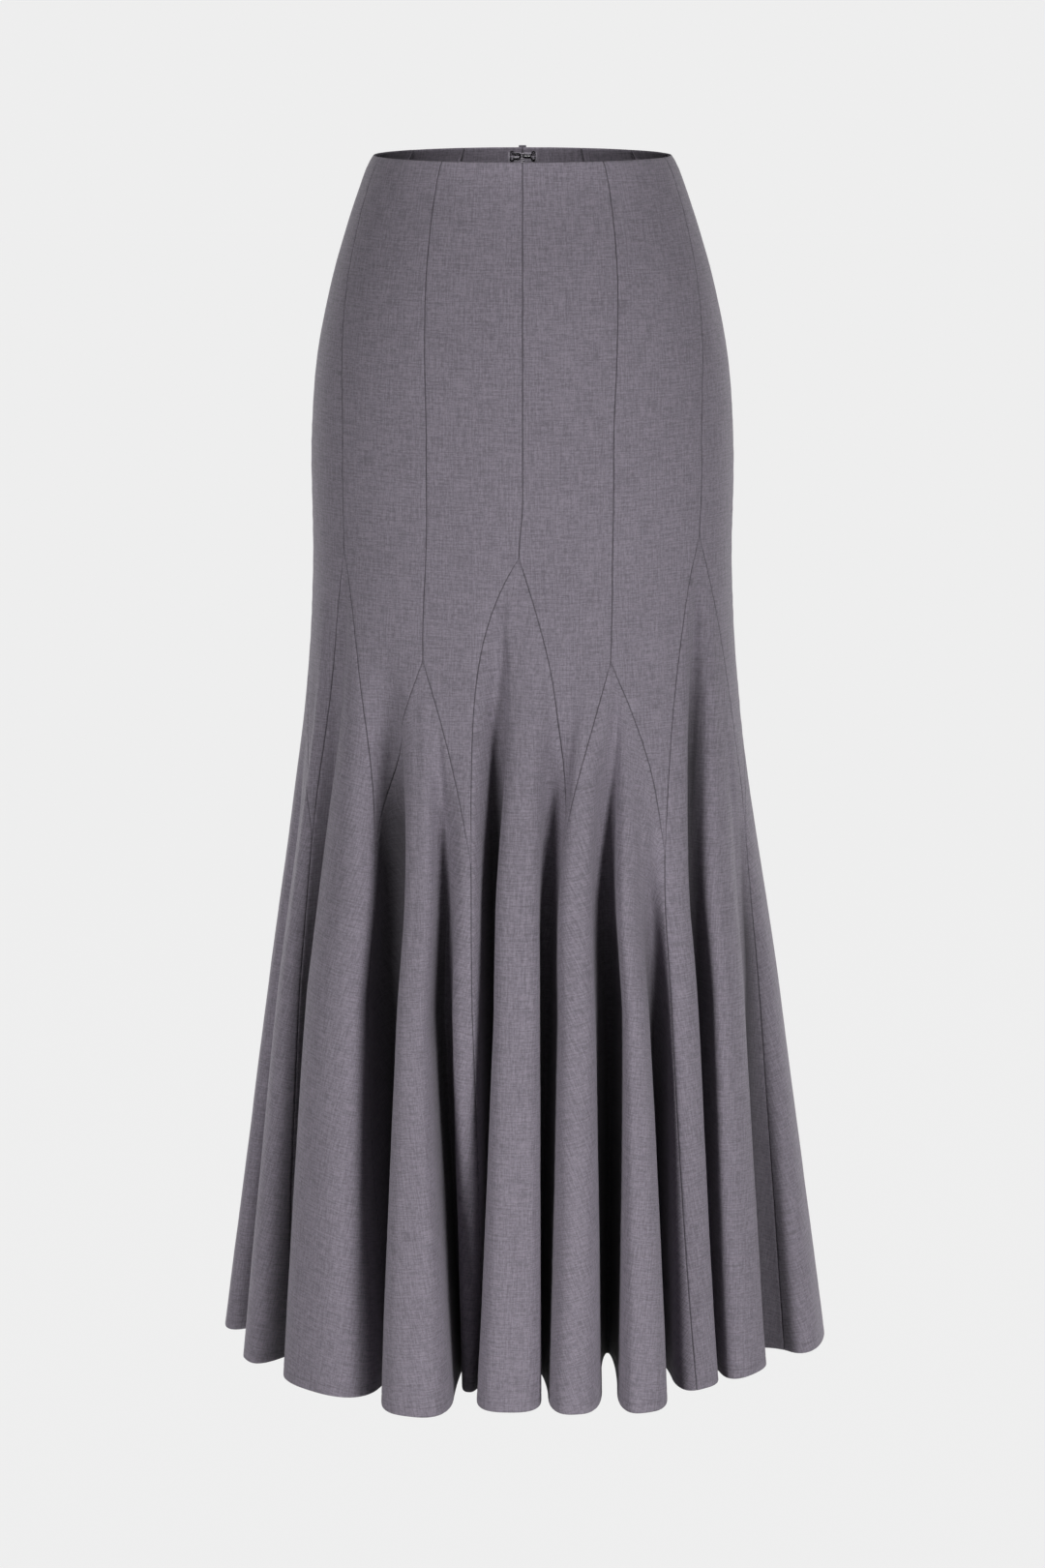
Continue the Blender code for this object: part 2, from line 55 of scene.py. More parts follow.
# %% Camera
CAMERA_PLACE = (0.0, -3.2, 0.22)
CAMERA_AIM = (0.0, 0.0, -0.51)
PHOTO_HEIGHT_PX = 1620
FOCAL_PX = 4143.0
SENSOR_MM = 36.0

camera_data = bpy.data.cameras.new("photo_camera")
camera_data.sensor_width = SENSOR_MM
camera_data.lens = FOCAL_PX / PHOTO_HEIGHT_PX * SENSOR_MM
camera = bpy.data.objects.new("photo_camera", camera_data)
bpy.context.scene.collection.objects.link(camera)
camera.location = CAMERA_PLACE
camera.rotation_euler = (Vector(CAMERA_AIM) - Vector(CAMERA_PLACE)).to_track_quat("-Z", "Y").to_euler()
bpy.context.scene.camera = camera
print("camera lens", round(camera_data.lens, 2), "mm")

# %% [markdown]
# ## The sizes of the skirt
# The cloth is one surface. At each level it has an oval, and round that oval run the flutes. A place on
# the cloth is given by its level z and its fold coordinate: flute j has its crest at j, and the floor of
# the valley after it is at j + 0.5.

# %% The skirt's oval at each level
HIP_LEVEL = -0.230
LOW_APEX = -0.387      # tips of the low godets
POINT_LEVEL = -0.543   # lower points of the gores
HEM_LEVEL = -0.977
MID_LEVEL = -0.665     # level of the flute table's "mid" bearings
FOLD_TOP = -0.330      # from here the flutes' own bearings take over,
FOLD_FULL = -0.600     # and here they have
FULL_CREST = 1.45      # power of the wave across a deep valley: more gives broader flutes
FULL_DEPTH = 0.060     # depth of valley that has this power

# Half width, and how far the oval reaches to the front and to the back.
Level = namedtuple("Level", "z half_width front_reach back_reach")
LEVELS = [
    Level(+0.000, 0.1175, 0.0865, 0.0875),
    Level(-0.008, 0.1222, 0.0890, 0.0905),
    Level(-0.022, 0.1276, 0.0925, 0.0955),
    Level(-0.052, 0.1378, 0.0985, 0.1060),
    Level(-0.098, 0.1513, 0.1060, 0.1210),
    Level(-0.160, 0.1638, 0.1115, 0.1350),
    Level(-0.230, 0.1691, 0.1130, 0.1390),
    Level(-0.330, 0.1689, 0.1150, 0.1320),
    Level(-0.430, 0.1755, 0.1270, 0.1345),
    Level(-0.543, 0.1905, 0.1455, 0.1470),
    Level(-0.665, 0.2085, 0.1650, 0.1630),
    Level(-0.820, 0.2300, 0.1890, 0.1850),
    Level(-0.977, 0.2520, 0.2130, 0.2080),
]

# %% The godets, with the gore seams that they are let into
# Fold coordinate; bearings of the seam at waist, hip and apex; level of the apex; bow of the left and
# the right edge; fold coordinate of the seam to the next godet, at the gores' points and at the hem.
Godet = namedtuple("Godet", "name fold waist hip apex apex_z bow_left bow_right join_top join_hem")
GODETS = [
    Godet("godet_front", -0.15, 0, 0.0, -1.0, -0.304, 4.4, 1.8, 0.78, 0.74),
    Godet("godet_front_right", 1.40, 32, 24.8, 24.5, LOW_APEX, 1.4, 1.4, 2.78, 2.95),
    Godet("godet_right_front", 3.50, 71, 56.5, 56.0, -0.295, 3.6, 2.2, 4.72, 4.72),
    Godet("godet_right_side", 5.60, 104, 90.0, 90.0, LOW_APEX, 1.4, 1.5, 6.60, 6.55),
    Godet("godet_right_back", 7.45, 131, 121.0, 121.0, -0.300, 2.4, 2.4, 8.35, 8.30),
    Godet("godet_back_right", 9.30, 156, 151.0, 151.0, LOW_APEX, 1.4, 1.4, 10.25, 10.25),
    Godet("godet_back", 11.10, 180, 180.0, 180.0, -0.306, 2.4, 2.4, 12.20, 12.22),
    Godet("godet_back_left", 12.90, 204, 209.0, 209.0, LOW_APEX, 1.4, 1.4, 13.80, 13.75),
    Godet("godet_left_back", 14.75, 229, 239.0, 239.0, -0.298, 2.4, 2.4, 15.80, 15.80),
    Godet("godet_left_side", 16.90, 256, 270.0, 270.0, LOW_APEX, 1.4, 1.5, 18.20, 18.28),
    Godet("godet_left_front", 18.70, 289, 303.0, 303.0, -0.306, 2.2, 2.3, 19.26, 19.30),
    Godet("godet_front_left", 20.15, 328, 333.7, 332.3, LOW_APEX, 1.4, 1.2, 21.06, 21.22),
]
GORE_NAMES = [
    "gore_front_right", "gore_front_right_outer", "gore_right_front",
    "gore_right_back", "gore_back_right_outer", "gore_back_right",
    "gore_back_left", "gore_back_left_outer", "gore_left_back",
    "gore_left_front", "gore_front_left_outer", "gore_front_left",
]
SEAMS = len(GODETS)
BACK_SEAM = 6          # the one with the zip

# %% The flutes, each with the valley that follows it
# Bearings of the two flanks at mid level and at the hem; how far the crest lies inside the oval; depth
# of the valley, the level where it starts, the bearing it opens towards, and how far its flanks tuck in.
Flute = namedtuple("Flute", "mid_from mid_to hem_from hem_to recess valley starts opens tuck")
FLUTES = [
    Flute(-7.2, 4.0, -10.1, 3.9, 0.012, 0.100, -0.360, 4, 0.5),
    Flute(8.2, 16.0, 5.4, 14.6, 0.005, 0.135, -0.400, 0, 0.3),
    Flute(22.6, 29.4, 17.7, 28.4, -0.005, 0.115, -0.480, 10, 0.4),
    Flute(35.0, 44.6, 31.4, 43.0, 0.021, 0.075, -0.300, 25, 0.7),
    Flute(49.7, 66.0, 45.0, 61.0, 0.017, 0.050, -0.480, 60, 0.5),
    Flute(74.0, 93.0, 69.5, 91.0, -0.003, 0.080, -0.420, 98, 0.4),
    Flute(100.0, 111.0, 98.0, 110.0, 0.006, 0.085, -0.330, 114, 0.5),
    Flute(118.0, 127.0, 117.0, 127.0, 0.010, 0.075, -0.400, 131, 0.4),
    Flute(134.0, 145.0, 134.0, 146.0, 0.000, 0.095, -0.330, 150, 0.5),
    Flute(152.0, 160.5, 152.0, 161.0, 0.010, 0.085, -0.420, 164, 0.4),
    Flute(167.0, 176.0, 167.0, 177.0, 0.000, 0.100, -0.330, 179, 0.5),
    Flute(183.0, 190.5, 183.0, 191.0, 0.008, 0.080, -0.420, 194, 0.3),
    Flute(197.0, 206.0, 197.0, 207.0, 0.000, 0.095, -0.330, 208, 0.5),
    Flute(213.0, 221.0, 213.0, 221.5, 0.010, 0.085, -0.430, 220, 0.4),
    Flute(227.0, 235.5, 227.0, 236.0, 0.002, 0.090, -0.330, 235, 0.5),
    Flute(241.0, 247.5, 241.5, 248.0, 0.010, 0.075, -0.430, 246, 0.4),
    Flute(252.0, 257.5, 253.0, 259.0, 0.006, 0.065, -0.420, 257, 0.3),
    Flute(262.0, 276.0, 264.0, 275.0, 0.001, 0.045, -0.430, 288, 0.3),
    Flute(281.5, 294.0, 289.5, 298.5, 0.003, 0.080, -0.320, 312, 0.5),
    Flute(299.5, 321.0, 305.0, 330.0, 0.002, 0.130, -0.358, 344, 0.4),
    Flute(330.6, 338.8, 332.0, 346.5, -0.010, 0.110, -0.430, 354, 0.4),
    Flute(343.8, 349.2, 347.2, 349.3, 0.052, 0.125, -0.340, 349, 0.4),
]
TURN = len(FLUTES)

VALLEY_EASE, VALLEY_SCALE = 0.12, 1.12   # a valley starts softly and has its full depth at the hem
STEEP_FROM, STEEP_FULL = 0.004, 0.040    # depths of valley between which its flanks turn steep
CURL = -0.9                              # share of its even slope that a flank with tuck 1 ends with

# %% [markdown]
# ## The surface of the cloth
# Above the hip the bearings follow the gore seams. Further down they blend into the flutes' own
# bearings, and the valleys sink in towards the body. The curves through the tables are cubic, so no
# level shows as a kink.

# %% Curves through the tables
def ramp(value, start, end):
    """0 at start, 1 at end, straight between them."""
    return min(1.0, max(0.0, (value - start) / (end - start)))


def soft_ramp(value, start, end):
    t = ramp(value, start, end)
    return t * t * (3.0 - 2.0 * t)


def hermite(p0, p1, m0, m1, t):
    """Cubic from p0 to p1 with end slopes m0 and m1."""
    return ((2 * t**3 - 3 * t**2 + 1) * p0 + (t**3 - 2 * t**2 + t) * m0
            + (3 * t**2 - 2 * t**3) * p1 + (t**3 - t**2) * m1)


def smooth_column(column, z):
    """A column of LEVELS at level z, on a smooth curve through its rows."""
    heights = [row.z for row in LEVELS]
    values = [getattr(row, column) for row in LEVELS]
    i = 0
    while i < len(LEVELS) - 2 and z < heights[i + 1]:
        i += 1

    def slope(k):
        low, high = max(0, k - 1), min(len(LEVELS) - 1, k + 1)
        return (values[high] - values[low]) / (heights[high] - heights[low])

    span = heights[i + 1] - heights[i]
    return hermite(values[i], values[i + 1], slope(i) * span, slope(i + 1) * span, (z - heights[i]) / span)


# %% Bearings of the seams and of the flutes
def seam_bearing(godet, z):
    """Bearing of a gore seam at level z."""
    if z > HIP_LEVEL:
        return godet.waist + (godet.hip - godet.waist) * soft_ramp(z, 0.0, HIP_LEVEL)
    return godet.hip + (godet.apex - godet.hip) * soft_ramp(z, HIP_LEVEL - 0.03, godet.apex_z)


def seam_bearings(folds, z):
    """Bearings that follow the gore seams, in even steps between them."""
    knots = [g.fold for g in GODETS]
    bearings = [seam_bearing(g, z) for g in GODETS]
    knots = [k - TURN for k in knots] + knots + [k + TURN for k in knots]
    bearings = [b - 360.0 for b in bearings] + bearings + [b + 360.0 for b in bearings]
    return np.interp(folds, knots, bearings)


def flank_bearings(z):
    """Bearing of each flank at level z; flank 2j is at fold j - 0.25 and flank 2j + 1 at j + 0.25."""
    down = max(0.0, (MID_LEVEL - z) / (MID_LEVEL - HEM_LEVEL))
    flanks = []
    for flute in FLUTES:
        flanks.append(flute.mid_from + (flute.hem_from - flute.mid_from) * down)
        flanks.append(flute.mid_to + (flute.hem_to - flute.mid_to) * down)
    return np.array(flanks)


def valley_depth(flute, z):
    """Depth of the valley that follows a flute: none above its start, all of it at the hem."""
    s = ramp(z, flute.starts, HEM_LEVEL)
    return flute.valley * s * s / (s + VALLEY_EASE) * VALLEY_SCALE


def crest_recess(flute, z):
    return flute.recess * soft_ramp(z, POINT_LEVEL + 0.05, HEM_LEVEL)


def fold_bearings(folds, z):
    """Bearings that follow the flute table: a smooth curve through the flanks, steep at each flank."""
    flanks = flank_bearings(z)
    count = len(flanks)
    previous = np.roll(flanks, 1)
    previous[0] -= 360.0
    following = np.roll(flanks, -1)
    following[-1] += 360.0
    even = (following - previous) / 2.0
    slopes = np.empty(count)
    for j, flute in enumerate(FLUTES):
        for flank, valley in ((2 * j, FLUTES[j - 1]), (2 * j + 1, flute)):
            steep = soft_ramp(valley_depth(valley, z), STEEP_FROM, STEEP_FULL)
            curl = CURL * valley.tuck * ramp(z, FOLD_FULL, HEM_LEVEL) ** 0.5
            slopes[flank] = even[flank] * (1.0 - steep + curl * steep)
    position = (folds + 0.25) * 2.0
    whole = np.floor(position).astype(int)
    start = flanks[whole % count] + 360.0 * (whole // count)
    end = flanks[(whole + 1) % count] + 360.0 * ((whole + 1) // count)
    return hermite(start, end, slopes[whole % count], slopes[(whole + 1) % count], position - whole)


# %% One level of the surface
def recesses(z):
    return np.array([crest_recess(flute, z) for flute in FLUTES])


def depths(z):
    return np.array([valley_depth(flute, z) for flute in FLUTES])


def inset_and_opening(folds, z):
    """How far the cloth lies inside the oval, and the bearing that it is moved in from."""
    crests = np.rint(folds).astype(int)
    valleys = np.floor(folds).astype(int)
    recess = recesses(z)[crests % TURN]
    depth = depths(z)[valleys % TURN]
    fullness = 1.0 + (FULL_CREST - 1.0) * np.clip((depth - recess) / FULL_DEPTH, 0.0, 1.0)
    wave = (0.5 - 0.5 * np.cos(2.0 * math.pi * (folds - crests))) ** fullness
    inset = recess + (depth - recess) * wave
    over = np.clip((folds - crests) * 2.0 + 0.5, 0.0, 1.0)
    opens = np.array([f.opens for f in FLUTES], float)
    before = opens[(crests - 1) % TURN] + 360.0 * ((crests - 1) // TURN)
    after = opens[crests % TURN] + 360.0 * (crests // TURN)
    return inset, before + (after - before) * over * over * (3.0 - 2.0 * over)


def ring(z, folds):
    """Points of the cloth's middle surface at level z, one for each fold coordinate."""
    folds = np.asarray(folds, float)
    blend = soft_ramp(z, FOLD_TOP, FOLD_FULL)
    bearings = seam_bearings(folds, z) * (1.0 - blend)
    if blend > 0.0:
        bearings = bearings + fold_bearings(folds, z) * blend
    angle = np.radians(bearings)
    half_width = smooth_column("half_width", z)
    reach = np.where(np.cos(angle) > 0.0, smooth_column("front_reach", z), smooth_column("back_reach", z))
    inset, opening = inset_and_opening(folds, z)
    inward = np.radians(opening)
    x = half_width * np.sin(angle) - inset * np.sin(inward)
    y = -reach * np.cos(angle) + inset * np.cos(inward)
    return np.stack([x, y, np.full_like(x, z)], axis=1)


def cloth_frame(z, folds):
    """Points at level z, their outward normals, and how far one step of the fold coordinate goes."""
    step, rise = 0.004, 0.0008
    along = ring(z, folds + step) - ring(z, folds - step)
    down = ring(z - rise, folds) - ring(z + rise, folds)
    normals = np.cross(along, -down)
    length = np.linalg.norm(normals, axis=1)
    speed = np.linalg.norm(along, axis=1) / (2.0 * step)
    return ring(z, folds), normals / np.maximum(length, 1e-12)[:, None], speed


# %% [markdown]
# ## Where the pieces end
# Above its apex a godet has no width: there the two gores meet. Below it the godet spreads between
# them, quickly at first where its edge is bowed, until the gores come to their points and it meets the
# next godet. A distance along the cloth is turned into a step of the fold coordinate by measuring.

# %% The seams
def join_fold(k, z):
    """Fold coordinate of the seam between godet k and the next, below the gores' points."""
    godet = GODETS[k % SEAMS]
    down = ramp(z, POINT_LEVEL, HEM_LEVEL)
    return godet.join_top + (godet.join_hem - godet.join_top) * down + TURN * (k // SEAMS)


def godet_edge(k, z, side):
    """Fold coordinate of a godet's left (-1) or right (+1) edge at level z."""
    godet = GODETS[k % SEAMS]
    apex = godet.fold + TURN * (k // SEAMS)
    if z >= godet.apex_z:
        return apex
    joined = join_fold(k - 1 if side < 0 else k, z)
    if z <= POINT_LEVEL:
        return joined
    bow = godet.bow_left if side < 0 else godet.bow_right
    return apex + (joined - apex) * (1.0 - (1.0 - ramp(z, godet.apex_z, POINT_LEVEL)) ** bow)


# %% [markdown]
# ## Creases
# The flutes are the skirt's large folds. Smaller ones run between them: soft troughs and ridges that
# start under a seam's tip and die out, uneven in length, depth and spacing. Each row of the table is
# one of them, with its fold coordinate at the top and at the bottom.

# %% The crease table
Crease = namedtuple("Crease", "top_fold low_fold top low half_width height")
CREASES = [
    # the front
    Crease(-0.46, -0.24, -0.325, -0.640, 0.0085, -0.0055),
    Crease(0.12, 0.08, -0.350, -0.760, 0.010, 0.0024),
    Crease(0.84, 0.55, -0.385, -0.680, 0.014, -0.0046),
    Crease(1.58, 1.62, -0.392, -0.600, 0.0055, -0.0036),
    Crease(1.20, 1.14, -0.430, -0.700, 0.007, 0.0016),
    Crease(1.75, 1.80, -0.430, -0.720, 0.008, 0.0016),
    Crease(2.20, 2.12, -0.480, -0.860, 0.007, -0.0019),
    Crease(3.50, 3.48, -0.310, -0.560, 0.006, -0.0030),
    Crease(3.85, 3.90, -0.360, -0.800, 0.009, 0.0016),
    Crease(4.25, 4.20, -0.450, -0.900, 0.009, -0.0023),
    Crease(20.15, 20.12, -0.395, -0.720, 0.006, 0.0022),
    Crease(20.42, 20.50, -0.430, -0.640, 0.006, -0.0036),
    Crease(19.70, 19.55, -0.410, -0.640, 0.010, -0.0040),
    Crease(19.10, 18.95, -0.400, -0.900, 0.014, 0.0016),
    Crease(18.75, 18.70, -0.315, -0.520, 0.006, -0.0027),
    Crease(19.40, 19.20, -0.620, -0.960, 0.016, -0.0023),
    Crease(20.10, 20.20, -0.760, -0.970, 0.010, 0.0014),
    Crease(0.08, 0.02, -0.780, -0.970, 0.008, -0.0019),
    Crease(1.00, 0.95, -0.740, -0.950, 0.008, 0.0014),
    # the sides and the back
    Crease(5.60, 5.55, -0.395, -0.700, 0.007, -0.0030),
    Crease(5.10, 5.20, -0.520, -0.930, 0.014, 0.0019),
    Crease(6.10, 6.15, -0.430, -0.760, 0.009, 0.0016),
    Crease(7.45, 7.50, -0.310, -0.600, 0.006, -0.0030),
    Crease(7.95, 8.05, -0.400, -0.840, 0.009, 0.0016),
    Crease(8.60, 8.66, -0.620, -0.930, 0.007, -0.0019),
    Crease(9.30, 9.26, -0.395, -0.640, 0.006, -0.0030),
    Crease(9.80, 9.86, -0.450, -0.800, 0.008, 0.0016),
    Crease(10.10, 10.02, -0.700, -0.960, 0.010, -0.0019),
    Crease(11.10, 11.14, -0.316, -0.620, 0.006, -0.0030),
    Crease(11.45, 11.55, -0.380, -0.760, 0.009, 0.0019),
    Crease(10.75, 10.70, -0.400, -0.690, 0.008, 0.0016),
    Crease(12.90, 12.94, -0.395, -0.680, 0.006, -0.0030),
    Crease(12.40, 12.34, -0.480, -0.900, 0.010, 0.0016),
    Crease(13.30, 13.36, -0.440, -0.760, 0.008, 0.0016),
    Crease(14.75, 14.70, -0.308, -0.580, 0.006, -0.0030),
    Crease(15.20, 15.24, -0.420, -0.860, 0.009, 0.0016),
    Crease(14.20, 14.12, -0.640, -0.950, 0.010, -0.0019),
    Crease(16.90, 16.96, -0.395, -0.660, 0.007, -0.0030),
    Crease(17.30, 17.20, -0.450, -0.900, 0.012, 0.0016),
    Crease(17.90, 17.96, -0.400, -0.700, 0.008, -0.0019),
]
TROUGH_LEFT = 1.30    # a trough comes down gently on its left,
TROUGH_RIGHT = 0.55   # and the cloth laps over its right side
CREASE_SKEW = 0.7     # below 1, a crease is strongest above its middle
CREASE_FADE = 1.2     # above 1, its ends die out more softly
CREASE_TOP_WIDTH, CREASE_SPREAD = 0.7, 0.9   # shares of its half width at the top, and added on the way


def crease_height(z, folds, speed):
    """How far the creases lift the cloth (or sink it, where negative) at each point of a level."""
    lift = np.zeros_like(folds)
    for crease in CREASES:
        if not crease.low < z < crease.top:
            continue
        down = ramp(z, crease.top, crease.low)
        fold = crease.top_fold + (crease.low_fold - crease.top_fold) * down
        strength = math.sin(math.pi * down ** CREASE_SKEW) ** CREASE_FADE
        for turn in (-TURN, 0.0, TURN):
            half_width = crease.half_width * (CREASE_TOP_WIDTH + CREASE_SPREAD * down)
            away = (folds - fold - turn) * speed / half_width
            if crease.height < 0.0:
                away = away / np.where(away > 0.0, TROUGH_RIGHT, TROUGH_LEFT)
            lift += crease.height * strength * np.exp(-away * away)
    return lift


# %% [markdown]
# ## Cutting and sewing one piece
# A piece starts as Blender's grid. Each row of the grid is laid on one level of the surface, between
# two seams. Close to a seam the cloth turns in and back on itself, as an allowance that is pressed
# open, and the hem and the waist edge are turned in the same way. Then the sheet gets its thickness.
# Each point also keeps a share of light that is painted into the finish's colour: painted shade in the grooves
# of the seams, along the hem's stitches and on the floors of the valleys, and a faint painted highlight beside
# each seam.

# %% Sizes of the sewing
WALL = 0.0006              # thickness of the suiting
ALLOWANCE_DEPTH = 0.00100  # the turned-in layer lies this far inside the panel
ROW_STEP = 0.0065          # between two rows of the grid
COLUMN_STEP = 0.0044       # between two columns, at the hem
HEM_TURN = 0.009
WAIST_TURN = (0.022, 0.0165, 0.0110, 0.0055)   # rows of the cloth turned in at the waist, below its edge
PUCKER = 0.00018           # height of the small waves that a line of stitches draws into the cloth

# From the allowance's free edge round the fold to the panel: distance from the seam, depth inside, and
# the share of light painted into the colour there: painted shade in the seam's narrow groove, and a faint painted
# highlight beside it.
SEAM_PROFILE = [
    (0.0090, ALLOWANCE_DEPTH, 1.0), (0.0040, ALLOWANCE_DEPTH, 1.0), (0.0013, ALLOWANCE_DEPTH, 1.0),
    (0.00050, 0.00092, 0.45), (0.00027, 0.00062, 0.26), (0.00030, 0.00034, 0.30), (0.00046, 0.00014, 0.66),
    (0.0008, 0.00004, 1.0), (0.0015, -0.00006, 1.05), (0.0030, 0.0, 1.0),
]

# The same for a free edge that is turned in: distance from the edge, and depth.
EDGE_PROFILE = [
    (0.0024, 0.0), (0.0010, 0.00004), (0.0003, 0.00017), (0.0, 0.00050), (0.0003, 0.00083),
    (0.0012, ALLOWANCE_DEPTH), (HEM_TURN, ALLOWANCE_DEPTH),
]
HEM_STITCH = 0.0072        # the row of stitches above the hem

# The rows beside and in the line of stitches: height from it, depth that it is drawn in, and the share
# of light painted into the colour there, a painted shade along the line.
STITCH_ROWS = [(0.0008, 0.00003, 1.0), (0.0003, 0.00012, 0.86), (-0.0003, 0.00012, 0.86),
               (-0.0008, 0.00003, 1.0)]


def grid_rows(top, bottom, kinks=()):
    """Levels of the rows between two levels, about one row step apart, with the kinks among them."""
    stops = sorted({top, bottom, *(k for k in kinks if bottom < k < top)}, reverse=True)
    levels = [stops[0]]
    for a, b in zip(stops, stops[1:]):
        count = max(1, round((a - b) / ROW_STEP))
        levels += [a + (b - a) * (i + 1) / count for i in range(count)]
    return levels


# %% Laying one row
FOLD_STEP = 0.01
WIDTH_SAMPLES = 41
ALLOWANCE_ROOM, LEAST_ALLOWANCE = 0.030, 0.02   # a narrower row has narrower allowances
GROOVE_ROOM, LEAST_GROOVE = 0.009, 0.05         # and narrower grooves
TRIMMED = 0.15             # share of an allowance that is left at the hem and at the waist edge
HEM_TRIM, WAIST_TRIM = (0.010, 0.024), (-0.008, -0.020)   # it grows whole over these
SWELLS_PER_METRE, SWELL_HEIGHT = 17.0, 0.00028
RIPPLES_PER_METRE, RIPPLE_HEIGHT = 60.0, 0.00007
PUCKER_RATE, PUCKER_DRIFT, PUCKER_REACH = 430.0, 91.0, 0.006   # radians per metre, and width of the band
ZIP_ZONE_FOOT, ZIP_ZONE_HALF = -0.25, 0.020   # the cloth lies smooth here, on the tapes


def folds_per_metre(z, fold, side):
    """How far the fold coordinate goes in one metre of cloth, beside a seam, to its right (+1) or left."""
    a, b = ring(z, [fold, fold + side * FOLD_STEP])
    return FOLD_STEP / np.linalg.norm(b - a)


def row_folds(z, left, right, columns):
    """Fold coordinates, depths and the share of light painted into the colour, of one row: two seam profiles,
    with even columns between.
    """
    middle = ring(z, np.linspace(left, right, WIDTH_SAMPLES))
    width = np.linalg.norm(np.diff(middle, axis=0), axis=1).sum()
    share = min(1.0, max(LEAST_ALLOWANCE, width / ALLOWANCE_ROOM))
    groove = min(1.0, max(LEAST_GROOVE, width / GROOVE_ROOM))
    above_hem = ramp(z, HEM_LEVEL + HEM_TRIM[0], HEM_LEVEL + HEM_TRIM[1])
    trim = TRIMMED + (1.0 - TRIMMED) * above_hem * ramp(z, *WAIST_TRIM)
    left_rate, right_rate = folds_per_metre(z, left, +1), folds_per_metre(z, right, -1)
    left_part, right_part = [], []
    for i, (away, depth, light) in enumerate(SEAM_PROFILE):
        reach = max(away * share * trim, SEAM_PROFILE[2][0] * groove) if i < 2 else away * groove
        left_part.append((left + reach * left_rate, depth, light))
        right_part.append((right - reach * right_rate, depth, light))
    start, end = left_part[-1][0], right_part[-1][0]
    inner = [(f, 0.0, 1.0) for f in np.linspace(start, end, columns + 1)[1:-1]]
    return np.array(left_part + inner + right_part[::-1]).T


def undulation(points):
    """Unevenness that all cloth has: broad, shallow swells and a finer ripple."""
    return np.array([noise.noise(Vector(p) * SWELLS_PER_METRE) * SWELL_HEIGHT
                     + noise.noise(Vector(p) * RIPPLES_PER_METRE) * RIPPLE_HEIGHT for p in points])


# %% The painted shade in the valleys
# The floors of the valleys get painted shade in the cloth's colour: how dark it goes, and how far up the banks.
VALLEY_FLOOR_LIGHT = 0.20   # share of the light at the floor of a full valley
VALLEY_BANK = 1.5           # how far up the bank the dark reaches: less for a larger power
SHADE_FROM, SHADE_SPAN = 0.006, 0.042   # depth where a floor starts to darken, and how much more makes it darkest

# Valleys whose painted shade is darker (above 1) or lighter than their depth alone would make it.
VALLEY_WEIGHT = {1: 0.8, 3: 3.0, 4: 3.5, 18: 1.5, 19: 1.6, 20: 1.2, 21: 1.4}


def valley_light(z, folds):
    """Share of light painted into the cloth's colour: all of it on the flutes, little deep in a valley, as
    painted shade.
    """
    inset, _ = inset_and_opening(folds, z)
    valleys = np.floor(folds).astype(int) % TURN
    recess = recesses(z)[np.rint(folds).astype(int) % TURN]
    depth = depths(z)[valleys]
    fall = np.maximum(depth - recess, 1e-6)
    bank = np.clip((inset - recess) / fall, 0.0, 1.0) ** VALLEY_BANK
    weight = np.array([VALLEY_WEIGHT.get(j, 1.0) for j in range(TURN)])[valleys]
    closed = np.clip((fall * weight - SHADE_FROM) / SHADE_SPAN, 0.0, 1.0)
    closed = closed * closed * (3.0 - 2.0 * closed)
    return 1.0 - (1.0 - VALLEY_FLOOR_LIGHT) * bank * closed


def lay_row(z, left, right, columns, inward=0.0, light=1.0):
    """One row: x, y, z of every point and the share of light painted into its colour, with creases, pucker and
    turned-in seams.
    """
    folds, depth, seam_light = row_folds(z, left, right, columns)
    points, normals, speed = cloth_frame(z, folds)
    away = np.minimum(folds - left, right - folds) * speed
    phase = z * PUCKER_RATE + 2.0 * np.sin(z * PUCKER_DRIFT) + folds * 3.0
    ripple = np.sin(phase) * np.exp(-np.maximum(away, 0.0) / PUCKER_REACH)
    shape = crease_height(z, folds, speed) + undulation(points) + PUCKER * ripple
    if z > ZIP_ZONE_FOOT:
        beside_zip = (np.abs(points[:, 0]) < ZIP_ZONE_HALF) & (points[:, 1] > 0.0)
        shape = np.where(beside_zip, 0.0, shape)
    points = points + normals * (shape - depth - inward)[:, None]
    # the last column is painted light: seam and stitch painted shade and highlight, times the valley's painted
    # shade
    return np.column_stack([points, seam_light * valley_light(z, folds) * light])


# %% [markdown]
# The pattern of a woven cloth runs along its threads. Each piece gets a flat map, in metres: down its
# middle runs the warp. A godet is cut as a fan, so away from its middle its threads lean, and the map
# turns with them, as on the real one.

# %% A piece from its rows
FAN_SPREAD = 0.12     # keeps a fan's map from closing up at its tip
MAP_STEP = 0.37       # metres across, between the places that a piece's map can have on the cloth,
MAP_PLACES = 29       # how many places there are,
MAP_SLANT = 0.6       # and how far down each step goes, as a share


